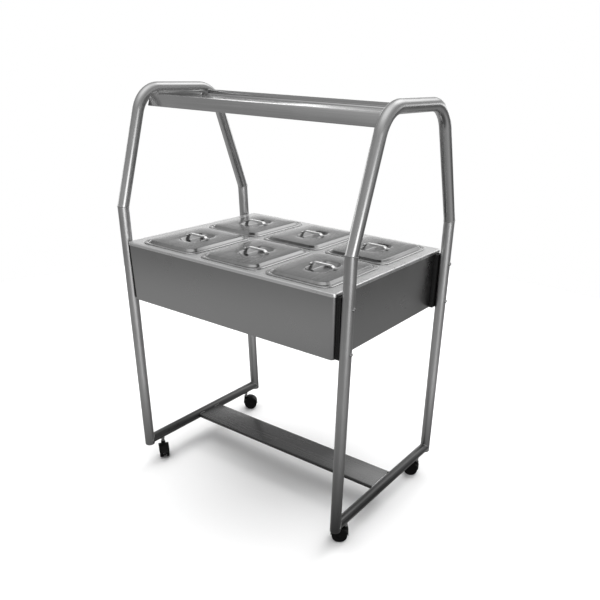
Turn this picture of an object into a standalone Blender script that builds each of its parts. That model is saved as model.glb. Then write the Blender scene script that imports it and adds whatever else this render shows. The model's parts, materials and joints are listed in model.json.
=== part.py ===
"""Steam table unit: a heated six-pan well carried between two bent tube frames on casters.

World frame: +X to the right along the row of pans, -Y towards the guest side, +Z up.
The origin is on the floor, under the middle of the unit. Units are metres.
"""
import math

import bmesh
import bpy
from mathutils import Matrix, Vector

# ---------------------------------------------------------------- driving dimensions
GAP = 0.0003                  # clearance kept between pieces that touch

TUBE_R = 0.020                # 40 mm round tube
BORE_R = 0.0185
TUBE_RES = 6                  # bevel resolution: 16 sides
BORE_RES = 3                  # 10 sides
BORE_OVERRUN = 0.05           # how far a bore's cutter runs past the tube's ends
FRAME_X = 0.501               # tube centre line of either side frame
RAIL_Z = 0.108
FOOT_Y = 0.350                # leg centre line at the height of the rail
ELBOW_Y = 0.322
ELBOW_Z = 1.089
HOOP_TOP_Z = 1.469
HOOP_LEAN = 0.38              # metres inward for each metre up
HOOP_BEND_R = 0.110
BEND_STEPS = 6

CASING_HALF_X = 0.465
CASING_HALF_Y = 0.350
CASING_Z0 = 0.758
PLATE_TOP_Z = 0.976
SHEET = 0.002
CASING_CORNER_R = 0.012
RIM_LIP = 0.0117              # height of the turned-down edge of the top plate

WELL_HALF_X = 0.438
WELL_HALF_Y = 0.326
WELL_FLOOR_Z = 0.783

PAN_PITCH_X = 0.291
PAN_PITCH_Y = 0.333
PAN_HALF_X = 0.1325           # half-size gastronorm pan, 265 x 325 mm over the flange
PAN_HALF_Y = 0.1625
PAN_DEPTH = 0.150
PAN_SHEET = 0.0015
PAN_COLUMNS = {"left": -PAN_PITCH_X, "middle": 0.0, "right": PAN_PITCH_X}
PAN_ROWS = {"front": -PAN_PITCH_Y / 2, "rear": PAN_PITCH_Y / 2}

LID_SHEET = 0.0012
LID_RISE = 0.008
DISH = (0.042, 0.070, 0.032)  # half-lengths and corner radius of the finger dish
DISH_DEPTH = 0.013
HANDLE_RISE = 0.006

BOLT_Z = (0.933, 0.788)
BOLT_R = 0.004
BOLT_HOLE_R = 0.0046
SPACER_SETBACK = 0.012        # from the casing's front or rear face
SPACER_WIDTH = 0.034

SHELF_HALF_X = 0.4806
SHELF_TOP_Z = 1.452
SHELF_DROP = 0.037
SHELF_FRONT_Y = -0.158        # top edge of the shelf's front face
SHELF_REAR_Y = 0.125
SHELF_SLOPE = 0.46            # the shelf's front face leans like the hoops
SHELF_PRESS = 0.004
SHELF_UPSTAND = 0.012
SHELF_SHEET = 0.0015

CHANNEL_HALF_Y = 0.068
CHANNEL_TOP_Z = 0.118
CHANNEL_LIP = 0.014

CASTER_Y = 0.280
WHEEL_R = 0.030
WHEEL_W = 0.0165
WEB_HALF_W = 0.004
HOOD_R = 0.0345
HOOD_T = 0.0025
CASTER_TRAIL = 0.022
STEM_PIN_R = 0.005
BOSS_TOP_Z = 0.068
# The way each caster trails, as an angle about +Z from +X.
CASTER_ANGLES = {
    ("left", "front"): -37.0,
    ("left", "rear"): 42.0,
    ("right", "front"): 213.5,
    ("right", "rear"): 204.0,
}

CONTROL_Z = 0.850
KNOB_X = 0.215
KNOB_R = 0.020
KNOB_REACH = 0.0190           # how far the knob stands off the rear panel
THERMOSTAT = (0.040, 0.017, 0.040)
INLET_X = 0.300
INLET_BODY = (0.026, 0.017, 0.019)
INLET_FLANGE = (0.050, 0.003, 0.028)
DRAIN_X = -0.300
DRAIN_Y = 0.200
VALVE_Z = 0.732

SIDES = {"left": -1, "right": 1}
ENDS = {"front": -1, "rear": 1}


# ---------------------------------------------------------------- scene and helpers
def empty_scene():
    for obj in list(bpy.data.objects):
        bpy.data.objects.remove(obj, do_unlink=True)


def new_collection(name):
    collection = bpy.data.collections.new(name)
    bpy.context.scene.collection.children.link(collection)
    return collection


def material(name, colour, roughness, metallic):
    mat = bpy.data.materials.new(name)
    mat.use_nodes = True
    shader = mat.node_tree.nodes["Principled BSDF"]
    shader.inputs["Base Color"].default_value = (*colour, 1.0)
    shader.inputs["Roughness"].default_value = roughness
    shader.inputs["Metallic"].default_value = metallic
    return mat


empty_scene()
PARTS = new_collection("steam_table_unit")
CUTTERS = new_collection("cutters")
STEEL = material("satin_steel", (0.62, 0.62, 0.61), 0.28, 1.0)
SHEET_STEEL = material("sheet_steel", (0.50, 0.50, 0.50), 0.35, 1.0)
BRIGHT_STEEL = material("bright_steel", (0.70, 0.70, 0.70), 0.18, 1.0)
BLACK = material("black_plastic", (0.012, 0.012, 0.013), 0.45, 0.0)
TYRE = material("wheel_tread", (0.02, 0.02, 0.02), 0.6, 0.0)
WOOL = material("mineral_wool", (0.55, 0.50, 0.38), 0.95, 0.0)
BRASS = material("brass", (0.70, 0.52, 0.25), 0.3, 1.0)


def add_mesh(name, bm, mat, collection=None):
    bmesh.ops.recalc_face_normals(bm, faces=bm.faces)
    mesh = bpy.data.meshes.new(name)
    bm.to_mesh(mesh)
    bm.free()
    obj = bpy.data.objects.new(name, mesh)
    (collection or PARTS).objects.link(obj)
    if mat is not None:
        mesh.materials.append(mat)
    return obj


def smooth(obj, angle=35.0):
    obj.data.shade_smooth()
    obj.data.set_sharp_from_angle(angle=math.radians(angle))
    return obj


def as_cutter(obj):
    for collection in list(obj.users_collection):
        collection.objects.unlink(obj)
    CUTTERS.objects.link(obj)
    obj.hide_render = True
    obj.display_type = "WIRE"
    return obj


def boolean(obj, other, operation="DIFFERENCE"):
    modifier = obj.modifiers.new(operation.lower(), "BOOLEAN")
    modifier.operation = operation
    modifier.solver = "EXACT"
    modifier.object = other
    if other.name not in CUTTERS.objects:
        as_cutter(other)
    return obj


def solidify(obj, thickness, offset):
    modifier = obj.modifiers.new("thickness", "SOLIDIFY")
    modifier.thickness = thickness
    modifier.offset = offset
    modifier.use_even_offset = True
    modifier.use_rim = True
    return obj


def box(name, size, centre, mat):
    bm = bmesh.new()
    bmesh.ops.create_cube(bm, size=1.0)
    bmesh.ops.scale(bm, vec=Vector(size), verts=bm.verts)
    obj = add_mesh(name, bm, mat)
    obj.location = centre
    return obj


def cylinder(name, radius, length, centre, mat, axis="Z", sides=16):
    bm = bmesh.new()
    bmesh.ops.create_cone(
        bm, cap_ends=True, segments=sides, radius1=radius, radius2=radius, depth=length)
    turn = {"X": Matrix.Rotation(math.pi / 2, 3, "Y"),
            "Y": Matrix.Rotation(-math.pi / 2, 3, "X"),
            "Z": Matrix.Identity(3)}[axis]
    bmesh.ops.rotate(bm, matrix=turn, verts=bm.verts)
    obj = add_mesh(name, bm, mat)
    obj.location = centre
    return smooth(obj)


def lathe(name, profile, mat, steps=20):
    """Turn (radius, height) points, listed from top to bottom on the outer side, about Z."""
    bm = bmesh.new()
    verts = [bm.verts.new((radius, 0.0, height)) for radius, height in profile]
    for first, second in zip(verts, verts[1:]):
        bm.edges.new((first, second))
    mesh = bpy.data.meshes.new(name)
    bm.to_mesh(mesh)
    bm.free()
    mesh.materials.append(mat)
    obj = bpy.data.objects.new(name, mesh)
    PARTS.objects.link(obj)
    screw = obj.modifiers.new("turn", "SCREW")
    screw.angle = 2 * math.pi
    screw.steps = steps
    screw.render_steps = steps
    screw.use_merge_vertices = True
    screw.merge_threshold = 0.00001
    screw.use_smooth_shade = True
    return obj


def tube(name, points, radius, resolution, mat):
    """A tube along world points, as a welded mesh with its caps."""
    curve = bpy.data.curves.new(name + "_path", "CURVE")
    curve.dimensions = "3D"
    curve.bevel_depth = radius
    curve.bevel_resolution = resolution
    curve.render_resolution_u = 0
    curve.use_fill_caps = True
    spline = curve.splines.new("POLY")
    spline.points.add(len(points) - 1)
    for target, source in zip(spline.points, points):
        target.co = (*source, 1.0)
    guide = bpy.data.objects.new(name + "_path", curve)
    PARTS.objects.link(guide)
    bpy.context.view_layer.update()
    evaluated = guide.evaluated_get(bpy.context.evaluated_depsgraph_get())
    mesh = bpy.data.meshes.new_from_object(evaluated)
    bpy.data.objects.remove(guide, do_unlink=True)
    bm = bmesh.new()
    bm.from_mesh(mesh)
    bpy.data.meshes.remove(mesh)
    bmesh.ops.remove_doubles(bm, verts=bm.verts, dist=0.00001)
    return smooth(add_mesh(name, bm, mat))


def rounded_ring(half_x, half_y, radius, z, steps=3):
    """Points round a rounded rectangle, anticlockwise from the +X side."""
    ring = []
    corners = ((1, 1), (-1, 1), (-1, -1), (1, -1))
    for index, (sign_x, sign_y) in enumerate(corners):
        centre_x = sign_x * (half_x - radius)
        centre_y = sign_y * (half_y - radius)
        for step in range(steps + 1):
            angle = math.radians(90 * index + 90 * step / steps)
            ring.append((centre_x + radius * math.cos(angle),
                         centre_y + radius * math.sin(angle), z))
    return ring


def loft(name, rings, mat, close_start=False, close_end=False, collection=None):
    """A surface through rings of the same number of points."""
    bm = bmesh.new()
    rows = [[bm.verts.new(point) for point in ring] for ring in rings]
    count = len(rows[0])
    for lower, upper in zip(rows, rows[1:]):
        for i in range(count):
            j = (i + 1) % count
            bm.faces.new((lower[i], lower[j], upper[j], upper[i]))
    if close_start:
        bm.faces.new(rows[0])
    if close_end:
        bm.faces.new(rows[-1])
    return add_mesh(name, bm, mat, collection)


def strip(name, section, half_x, mat):
    """A folded sheet: a line of (y, z) points drawn out along X."""
    bm = bmesh.new()
    ends = [[bm.verts.new((x, y, z)) for y, z in section] for x in (-half_x, half_x)]
    for i in range(len(section) - 1):
        bm.faces.new((ends[0][i], ends[1][i], ends[1][i + 1], ends[0][i + 1]))
    return add_mesh(name, bm, mat)


# ---------------------------------------------------------------- side frames
def leg_y(z):
    """Distance of a leg's centre line from the middle plane at height z."""
    return ELBOW_Y + (FOOT_Y - ELBOW_Y) * (ELBOW_Z - z) / (ELBOW_Z - RAIL_Z)


def hoop_path():
    """Centre line of the bent upper tube in the (y, z) plane, front elbow to rear elbow."""
    lean = math.atan(HOOP_LEAN)
    turn = math.pi / 2 - lean
    corner_y = ELBOW_Y - HOOP_LEAN * (HOOP_TOP_Z - ELBOW_Z)
    tangent = HOOP_BEND_R * math.tan(turn / 2)
    centre_y = corner_y - tangent
    centre_z = HOOP_TOP_Z - HOOP_BEND_R
    half = [(ELBOW_Y, ELBOW_Z)]
    for step in range(BEND_STEPS + 1):
        angle = math.pi / 2 - turn * (1 - step / BEND_STEPS)
        half.append((centre_y + HOOP_BEND_R * math.cos(angle),
                     centre_z + HOOP_BEND_R * math.sin(angle)))
    front = [(-y, z) for y, z in half]
    return front + half[::-1]


def mitre(obj, point, along, plane):
    """Slide the end of a tube along itself until it lies in the plane through point."""
    point, along, plane = Vector(point), Vector(along).normalized(), Vector(plane).normalized()
    mesh = obj.data
    reach = min((vertex.co - point).length for vertex in mesh.vertices)
    for vertex in mesh.vertices:
        if (vertex.co - point).length < reach + TUBE_R * 1.05:
            vertex.co -= along * ((vertex.co - point).dot(plane) / along.dot(plane))
    return obj


def bore(piece, points):
    """Hollow a tube from end to end along its centre line."""
    points = [Vector(point) for point in points]
    before = (points[0] - points[1]).normalized() * BORE_OVERRUN
    after = (points[-1] - points[-2]).normalized() * BORE_OVERRUN
    points[0] += before
    points[-1] += after
    return boolean(piece, tube(piece.name + "_bore", points, BORE_R, BORE_RES, None))


def elbow_plane(end_sign):
    """Directions of the leg and the hoop at an elbow, and the normal of the mitre."""
    leg_up = Vector((0, -end_sign * (FOOT_Y - ELBOW_Y), ELBOW_Z - RAIL_Z)).normalized()
    hoop_up = Vector((0, -end_sign * HOOP_LEAN, 1)).normalized()
    return leg_up, hoop_up, (leg_up + hoop_up).normalized()


def hoop(side, x):
    path = [(x, y, z) for y, z in hoop_path()]
    piece = tube(side + "_hoop", path, TUBE_R, TUBE_RES, STEEL)
    for end_sign in ENDS.values():
        _, hoop_up, plane = elbow_plane(end_sign)
        elbow = Vector((x, end_sign * ELBOW_Y, ELBOW_Z))
        mitre(piece, elbow + plane * GAP, hoop_up, plane)
    return bore(piece, path)


def leg(side, end, x, end_sign):
    bottom_z = RAIL_Z - TUBE_R
    top = Vector((x, end_sign * ELBOW_Y, ELBOW_Z))
    bottom = Vector((x, end_sign * leg_y(bottom_z), bottom_z))
    piece = tube(f"{side}_{end}_leg", [bottom, top], TUBE_R, TUBE_RES, STEEL)
    leg_up, _, plane = elbow_plane(end_sign)
    mitre(piece, top, leg_up, plane)
    mitre(piece, bottom, leg_up, (0, 0, 1))
    bore(piece, [bottom, top])
    return boolean(piece, BOLT_LINES)


def bottom_rail(side, x):
    """Rail between the feet of two legs, its ends coped to them."""
    ends = [(x, -FOOT_Y, RAIL_Z), (x, FOOT_Y, RAIL_Z)]
    rail = tube(side + "_bottom_rail", ends, TUBE_R, TUBE_RES, STEEL)
    for end, end_sign in ENDS.items():
        z0, z1 = RAIL_Z - 2 * TUBE_R, RAIL_Z + 2 * TUBE_R
        cope = tube(f"{side}_{end}_cope",
                    [(x, end_sign * leg_y(z0), z0), (x, end_sign * leg_y(z1), z1)],
                    TUBE_R + GAP, TUBE_RES, None)
        boolean(rail, cope)
        trim = box(f"{side}_{end}_rail_trim", (0.1, 0.1, 0.1),
                   (x, end_sign * (FOOT_Y + 0.05), RAIL_Z), None)
        boolean(rail, trim)
        socket = cylinder(f"{side}_{end}_stem_socket", STEM_PIN_R + 0.0005, 0.030,
                          (x, end_sign * CASTER_Y, RAIL_Z - TUBE_R), None)
        boolean(rail, socket)
    return bore(rail, ends)


def side_frame(side, sign):
    x = sign * FRAME_X
    hoop(side, x)
    for end, end_sign in ENDS.items():
        leg(side, end, x, end_sign)
    bottom_rail(side, x)


def bolt_lines():
    """One cutter for every bolt hole: four rods through both side frames."""
    bm = bmesh.new()
    turn = Matrix.Rotation(math.pi / 2, 4, "Y")
    for end_sign in ENDS.values():
        for z in BOLT_Z:
            place = Matrix.Translation((0, end_sign * leg_y(z), z))
            bmesh.ops.create_cone(
                bm, cap_ends=True, segments=8, radius1=BOLT_HOLE_R, radius2=BOLT_HOLE_R,
                depth=1.2, matrix=place @ turn)
    return as_cutter(add_mesh("bolt_lines", bm, None))


def bolt_plate(side, end, sign, end_sign):
    """A backing strip inside the casing with the two bolts that pass out through the leg."""
    plate_x = CASING_HALF_X - SHEET - GAP - 0.0015
    mid_z = sum(BOLT_Z) / 2
    piece = box(f"{side}_{end}_bolt_plate", (0.003, 0.018, 0.185),
                (sign * plate_x, end_sign * leg_y(mid_z), mid_z), BRIGHT_STEEL)
    outer_x = FRAME_X + TUBE_R
    for index, z in enumerate(BOLT_Z):
        y = end_sign * leg_y(z)
        shank_end = outer_x + 0.003
        shank = cylinder(f"{piece.name}_shank_{index}", BOLT_R, shank_end - plate_x,
                         (sign * (plate_x + shank_end) / 2, y, z), BRIGHT_STEEL, "X", 8)
        head = cylinder(f"{piece.name}_head_{index}", 0.0075, 0.005,
                        (sign * (outer_x + GAP + 0.0025), y, z), BRIGHT_STEEL, "X", 12)
        boolean(piece, shank, "UNION")
        boolean(piece, head, "UNION")
    return piece


def spacer(side, end, sign, end_sign):
    """Black strip between the casing's side and the leg."""
    inner_x = CASING_HALF_X + GAP
    outer_x = FRAME_X - TUBE_R - GAP
    front_y = CASING_HALF_Y - SPACER_SETBACK
    rear_y = front_y - SPACER_WIDTH
    z0, z1 = CASING_Z0 + 0.001, PLATE_TOP_Z - RIM_LIP - 0.001
    piece = box(f"{side}_{end}_spacer", (outer_x - inner_x, front_y - rear_y, z1 - z0),
                (sign * (inner_x + outer_x) / 2, end_sign * (front_y + rear_y) / 2,
                 (z0 + z1) / 2), BLACK)
    return boolean(piece, BOLT_LINES)


# ---------------------------------------------------------------- heated well
def outer_casing():
    rings = [rounded_ring(CASING_HALF_X, CASING_HALF_Y, CASING_CORNER_R, z)
             for z in (CASING_Z0, PLATE_TOP_Z - SHEET - 3 * GAP)]
    piece = smooth(loft("outer_casing", rings, SHEET_STEEL))
    solidify(piece, SHEET, -1)
    shaft_hole = cylinder("knob_shaft_hole", 0.005, 0.020,
                          (KNOB_X, CASING_HALF_Y, CONTROL_Z), None, "Y")
    boolean(piece, shaft_hole)
    body_x, _, body_z = INLET_BODY
    inlet_hole = box("inlet_hole", (body_x + 2 * GAP, 0.020, body_z + 2 * GAP),
                     (INLET_X, CASING_HALF_Y, CONTROL_Z), None)
    boolean(piece, inlet_hole)
    return boolean(piece, BOLT_LINES)


def casing_base():
    inset = SHEET + GAP
    ring = rounded_ring(CASING_HALF_X - inset, CASING_HALF_Y - inset,
                        CASING_CORNER_R - inset, CASING_Z0 + 0.0005)
    upper = [(x, y, z + SHEET) for x, y, z in ring]
    piece = loft("casing_base", [ring, upper], SHEET_STEEL, True, True)
    return boolean(piece, cylinder("base_drain_hole", 0.0125, 0.02,
                                   (DRAIN_X, DRAIN_Y, CASING_Z0), None))


def pan_places():
    for row, y in PAN_ROWS.items():
        for column, x in PAN_COLUMNS.items():
            yield f"{row}_{column}", x, y


def top_plate():
    """Rim plate with a turned-down edge and six openings for the pans."""
    outer = 2 * GAP + SHEET
    half_x, half_y = CASING_HALF_X + outer, CASING_HALF_Y + outer
    radius = CASING_CORNER_R + outer
    fold = 0.003
    rings = [
        rounded_ring(half_x, half_y, radius, PLATE_TOP_Z - RIM_LIP),
        rounded_ring(half_x, half_y, radius, PLATE_TOP_Z - fold),
        rounded_ring(half_x - fold * 0.3, half_y - fold * 0.3, radius - fold * 0.3,
                     PLATE_TOP_Z - fold * 0.3),
        rounded_ring(half_x - fold, half_y - fold, radius - fold, PLATE_TOP_Z),
    ]
    piece = smooth(loft("top_plate", rings, BRIGHT_STEEL, close_end=True))
    solidify(piece, SHEET, -1)
    opening = 0.010
    for name, x, y in pan_places():
        ring = rounded_ring(PAN_HALF_X - opening, PAN_HALF_Y - opening, 0.032, 0)
        levels = [[(x + px, y + py, z) for px, py, _ in ring]
                  for z in (PLATE_TOP_Z - 0.02, PLATE_TOP_Z + 0.02)]
        boolean(piece, loft(name + "_opening", levels, None, True, True))
    return piece


def water_well():
    rings = [rounded_ring(WELL_HALF_X, WELL_HALF_Y, 0.025, PLATE_TOP_Z - SHEET - GAP),
             rounded_ring(WELL_HALF_X, WELL_HALF_Y, 0.025, WELL_FLOOR_Z + 0.012),
             rounded_ring(WELL_HALF_X - 0.004, WELL_HALF_Y - 0.004, 0.021, WELL_FLOOR_Z + 0.003),
             rounded_ring(WELL_HALF_X - 0.012, WELL_HALF_Y - 0.012, 0.013, WELL_FLOOR_Z)]
    piece = smooth(loft("water_well", rings, BRIGHT_STEEL, close_end=True))
    solidify(piece, SHEET, -1)
    return boolean(piece, cylinder("well_drain_hole", 0.0108, 0.02,
                                   (DRAIN_X, DRAIN_Y, WELL_FLOOR_Z), None))


def insulation():
    thickness = 0.013
    rings = [rounded_ring(WELL_HALF_X + 0.001 + thickness, WELL_HALF_Y + 0.001 + thickness,
                          0.039, z) for z in (CASING_Z0 + 0.006, PLATE_TOP_Z - 0.008)]
    piece = loft("insulation_wrap", rings, WOOL)
    solidify(piece, thickness, -1)
    margin = 0.006
    for name, x, size in (("thermostat_notch", KNOB_X, THERMOSTAT),
                          ("inlet_notch", INLET_X, INLET_BODY)):
        notch = box(name, (size[0] + margin, 0.040, size[2] + margin),
                    (x, CASING_HALF_Y - 0.010, CONTROL_Z), None)
        boolean(piece, notch)
    return piece


def heating_element():
    """A serpentine tubular heater held against the underside of the well."""
    radius = 0.0042
    z = WELL_FLOOR_Z - GAP - radius
    run_x, pitch, runs = 0.330, 0.100, 5
    points = []
    for run in range(runs):
        y = (run - (runs - 1) / 2) * pitch - 0.05
        direction = 1 if run % 2 == 0 else -1
        points.append((-direction * run_x, y, z))
        points.append((direction * run_x, y, z))
        if run < runs - 1:
            for step in range(1, 6):
                angle = math.pi * step / 6 - math.pi / 2
                points.append((direction * (run_x + pitch / 2 * math.cos(angle)),
                               y + pitch / 2 + pitch / 2 * math.sin(angle), z))
    return tube("heating_element", points, radius, 2, BRIGHT_STEEL)


# ---------------------------------------------------------------- pans and lids
def food_pan(name, x, y):
    wall = 0.013
    taper = 0.007
    corner = 0.036
    levels = [(0.0, 0.0), (wall - 0.002, 0.0), (wall, -0.003),
              (wall + taper * 0.9, -PAN_DEPTH + 0.014), (wall + taper + 0.012, -PAN_DEPTH)]
    rings = [rounded_ring(PAN_HALF_X - inset, PAN_HALF_Y - inset,
                          corner - inset * 0.3, z) for inset, z in levels]
    piece = smooth(loft(name + "_pan", rings, BRIGHT_STEEL, close_end=True))
    piece.location = (x, y, PLATE_TOP_Z + GAP + PAN_SHEET)
    return solidify(piece, PAN_SHEET, 1)


def pan_lid(name, x, y):
    """Pressed lid: flat edge, raised panel and an oval finger dish in the middle."""
    edge, slope, fold = 0.0145, 0.0075, 0.002
    rise = LID_RISE
    levels = [(0.0, 0.0), (edge, 0.0), (edge + fold, 0.001),
              (edge + slope - fold, rise - 0.001), (edge + slope, rise)]
    rings = [rounded_ring(PAN_HALF_X - inset, PAN_HALF_Y - inset, 0.036 - inset * 0.3, z)
             for inset, z in levels]
    dish_x, dish_y, dish_r = DISH
    rings.append(rounded_ring(dish_x, dish_y, dish_r, rise))
    rings.append(rounded_ring(dish_x - 0.002, dish_y - 0.002, dish_r - 0.002, rise - 0.001))
    rings.append(rounded_ring(dish_x - 0.012, dish_y - 0.014, dish_r - 0.012,
                              rise - DISH_DEPTH))
    piece = smooth(loft(name + "_lid", rings, STEEL, close_end=True))
    piece.location = (x, y, lid_base_z())
    return solidify(piece, LID_SHEET, -1)


def lid_base_z():
    return PLATE_TOP_Z + GAP + PAN_SHEET + GAP


def lid_handle(name, x, y):
    """A bent strap along X across the finger dish, standing on the lid's panel."""
    foot_z = LID_RISE + LID_SHEET + GAP
    half_width = 0.009
    half = [(0.054, foot_z), (0.044, foot_z), (0.039, foot_z + HANDLE_RISE * 0.8),
            (0.034, foot_z + HANDLE_RISE)]
    line = [(-px, pz) for px, pz in half] + half[::-1]
    bm = bmesh.new()
    edges = [[bm.verts.new((px, py, pz)) for px, pz in line]
             for py in (-half_width, half_width)]
    for i in range(len(line) - 1):
        bm.faces.new((edges[0][i], edges[0][i + 1], edges[1][i + 1], edges[1][i]))
    piece = add_mesh(name + "_lid_handle", bm, BRIGHT_STEEL)
    piece.location = (x, y, lid_base_z())
    return solidify(piece, 0.0025, 1)


# ---------------------------------------------------------------- shelf and channel
def overshelf():
    """Folded shelf between the hoops: a sloped front, a pressed deck and a rear upstand."""
    top, bottom = SHELF_TOP_Z, SHELF_TOP_Z - SHELF_DROP
    front, rear = SHELF_FRONT_Y, SHELF_REAR_Y
    spread = SHELF_SLOPE * SHELF_DROP
    border, step, lip = 0.030, 0.004, 0.010
    deck = top - SHELF_PRESS
    section = [
        (front - spread + lip, bottom), (front - spread, bottom), (front, top),
        (front + border, top), (front + border + step, deck),
        (rear - border - step, deck), (rear - border, top),
        (rear, top), (rear, top + SHELF_UPSTAND),
    ]
    piece = strip("overshelf", section, SHELF_HALF_X - 0.001, SHEET_STEEL)
    solidify(piece, SHELF_SHEET, 1)
    flange_y = (front + border + 2 * step, rear - border - 2 * step)
    flange_z = (deck - SHELF_SHEET - 0.0005, top + 0.010)
    for side, sign in SIDES.items():
        flange = box(side + "_shelf_flange",
                     (0.002, flange_y[1] - flange_y[0], flange_z[1] - flange_z[0]),
                     (sign * (SHELF_HALF_X - 0.001), sum(flange_y) / 2, sum(flange_z) / 2),
                     SHEET_STEEL)
        boolean(piece, flange, "UNION")
    return piece


def stretcher_channel():
    section = [(-CHANNEL_HALF_Y, CHANNEL_TOP_Z - CHANNEL_LIP), (-CHANNEL_HALF_Y, CHANNEL_TOP_Z),
               (CHANNEL_HALF_Y, CHANNEL_TOP_Z), (CHANNEL_HALF_Y, CHANNEL_TOP_Z - CHANNEL_LIP)]
    piece = strip("stretcher_channel", section, SHELF_HALF_X, SHEET_STEEL)
    return solidify(piece, SHEET, -1)


# ---------------------------------------------------------------- casters
def caster_stem(name, x, y):
    profile = [(0.0, 0.103), (STEM_PIN_R, 0.103), (STEM_PIN_R, RAIL_Z - TUBE_R - GAP),
               (0.0085, RAIL_Z - TUBE_R - GAP), (0.0085, BOSS_TOP_Z + GAP),
               (STEM_PIN_R, BOSS_TOP_Z + GAP), (STEM_PIN_R, BOSS_TOP_Z - 0.008),
               (0.0, BOSS_TOP_Z - 0.008)]
    piece = lathe(name + "_caster_stem", profile, BRIGHT_STEEL, 16)
    piece.location = (x, y, 0)
    return piece


def arc(radius, start, stop, steps, centre=(0.0, 0.0)):
    return [(centre[0] + radius * math.cos(math.radians(start + (stop - start) * i / steps)),
             centre[1] + radius * math.sin(math.radians(start + (stop - start) * i / steps)))
            for i in range(steps + 1)]


def side_prism(name, outline, half_width, mat):
    """A solid of a (forward, z) outline, drawn out along local Y both ways."""
    rings = [[(u, y, z) for u, z in outline] for y in (-half_width, half_width)]
    return loft(name, rings, mat, True, True)


def wheel_space(name, axle):
    """Cutter for the room the two wheels turn in, one drum on either side of the web."""
    bm = bmesh.new()
    turn = Matrix.Rotation(math.pi / 2, 4, "X")
    for side in (-1, 1):
        place = Matrix.Translation((axle[0], side * (WEB_HALF_W + 0.02), axle[1]))
        bmesh.ops.create_cone(
            bm, cap_ends=True, segments=24, radius1=HOOD_R - HOOD_T, radius2=HOOD_R - HOOD_T,
            depth=0.04, matrix=place @ turn)
    return add_mesh(name + "_wheel_space", bm, None)


def caster_housing(name, x, y, angle):
    """Hood and web of a twin-wheel caster. Local +X is the way the wheels trail."""
    axle = (CASTER_TRAIL, WHEEL_R)
    half_w = WEB_HALF_W + 0.0008 + WHEEL_W
    hood_outline = arc(HOOD_R, 8, 172, 12, axle) + arc(HOOD_R - HOOD_T, 172, 8, 12, axle)
    piece = side_prism(name + "_caster_housing", hood_outline, half_w, BLACK)
    boss = cylinder(name + "_caster_boss", 0.0095, 0.022, (0, 0, BOSS_TOP_Z - 0.011), BLACK)
    boolean(piece, boss, "UNION")
    boolean(piece, wheel_space(name, axle))
    web_outline = arc(HOOD_R - HOOD_T / 2, -20, 200, 12, axle)
    boolean(piece, side_prism(name + "_caster_web", web_outline, WEB_HALF_W, BLACK), "UNION")
    pin_hole = cylinder(name + "_caster_pin_hole", STEM_PIN_R + 0.0005, 0.0173,
                        (0, 0, BOSS_TOP_Z), None)
    boolean(piece, pin_hole)
    axle_hole = cylinder(name + "_caster_axle_hole", 0.0047, 0.1, (axle[0], 0, axle[1]),
                         None, "Y")
    boolean(piece, axle_hole)
    place_caster_piece(piece, (x, y, 0), angle)
    return piece


def place_caster_piece(piece, location, angle):
    """Turn a caster piece about its stem, with the cutters that shape it."""
    holder = bpy.data.objects.new(piece.name + "_swivel", None)
    holder.location = location
    holder.rotation_euler = (0, 0, math.radians(angle))
    PARTS.objects.link(holder)
    piece.parent = holder
    for modifier in piece.modifiers:
        if modifier.type == "BOOLEAN":
            modifier.object.parent = holder


def caster_wheels(name, x, y, angle):
    """Two wheels pressed on one axle, as a turned shape about its own Z."""
    inner = WEB_HALF_W + 0.0008
    outer = inner + WHEEL_W
    edge = 0.002
    half = [(0.0, outer - 0.003), (0.012, outer - 0.003), (0.014, outer), (WHEEL_R - edge, outer),
            (WHEEL_R, outer - edge), (WHEEL_R, inner), (0.0042, inner)]
    profile = half + [(radius, -height) for radius, height in half[::-1]]
    piece = lathe(name + "_caster_wheels", profile, TYRE, 20)
    turn = math.radians(angle)
    piece.location = (x + CASTER_TRAIL * math.cos(turn), y + CASTER_TRAIL * math.sin(turn),
                      WHEEL_R)
    piece.rotation_euler = (math.pi / 2, 0, turn)
    return piece


# ---------------------------------------------------------------- controls and drain
def thermostat():
    """Switch body behind the rear panel, with a socket for the knob's shaft."""
    outer_y = CASING_HALF_Y - SHEET - GAP
    piece = box("thermostat", THERMOSTAT, (KNOB_X, outer_y - THERMOSTAT[1] / 2, CONTROL_Z),
                BLACK)
    return boolean(piece, cylinder("thermostat_socket", 0.0045, 0.016,
                                   (KNOB_X, outer_y, CONTROL_Z), None, "Y"))


def control_knob():
    shaft = SHEET + 0.0055
    edge = 0.002
    profile = [(0.0, KNOB_REACH), (KNOB_R - 2 * edge, KNOB_REACH),
               (KNOB_R - edge, KNOB_REACH - edge), (KNOB_R, GAP), (0.004, GAP),
               (0.004, -shaft), (0.0, -shaft)]
    piece = lathe("control_knob", profile, BLACK, 24)
    piece.location = (KNOB_X, CASING_HALF_Y, CONTROL_Z)
    piece.rotation_euler = (-math.pi / 2, 0, 0)
    return piece


def power_inlet():
    """Appliance inlet in the rear panel: a flange outside and a hollow body inside."""
    face_y = CASING_HALF_Y + GAP
    flange_y = INLET_FLANGE[1]
    piece = box("power_inlet", INLET_FLANGE, (INLET_X, face_y + flange_y / 2, CONTROL_Z), BLACK)
    body = box("inlet_body", INLET_BODY,
               (INLET_X, face_y + 0.001 - INLET_BODY[1] / 2, CONTROL_Z), BLACK)
    boolean(piece, body, "UNION")
    recess_x, recess_z = INLET_BODY[0] - 0.004, INLET_BODY[2] - 0.004
    recess = box("inlet_recess", (recess_x, 0.032, recess_z),
                 (INLET_X, face_y + 0.003, CONTROL_Z), None)
    return boolean(piece, recess)


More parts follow.
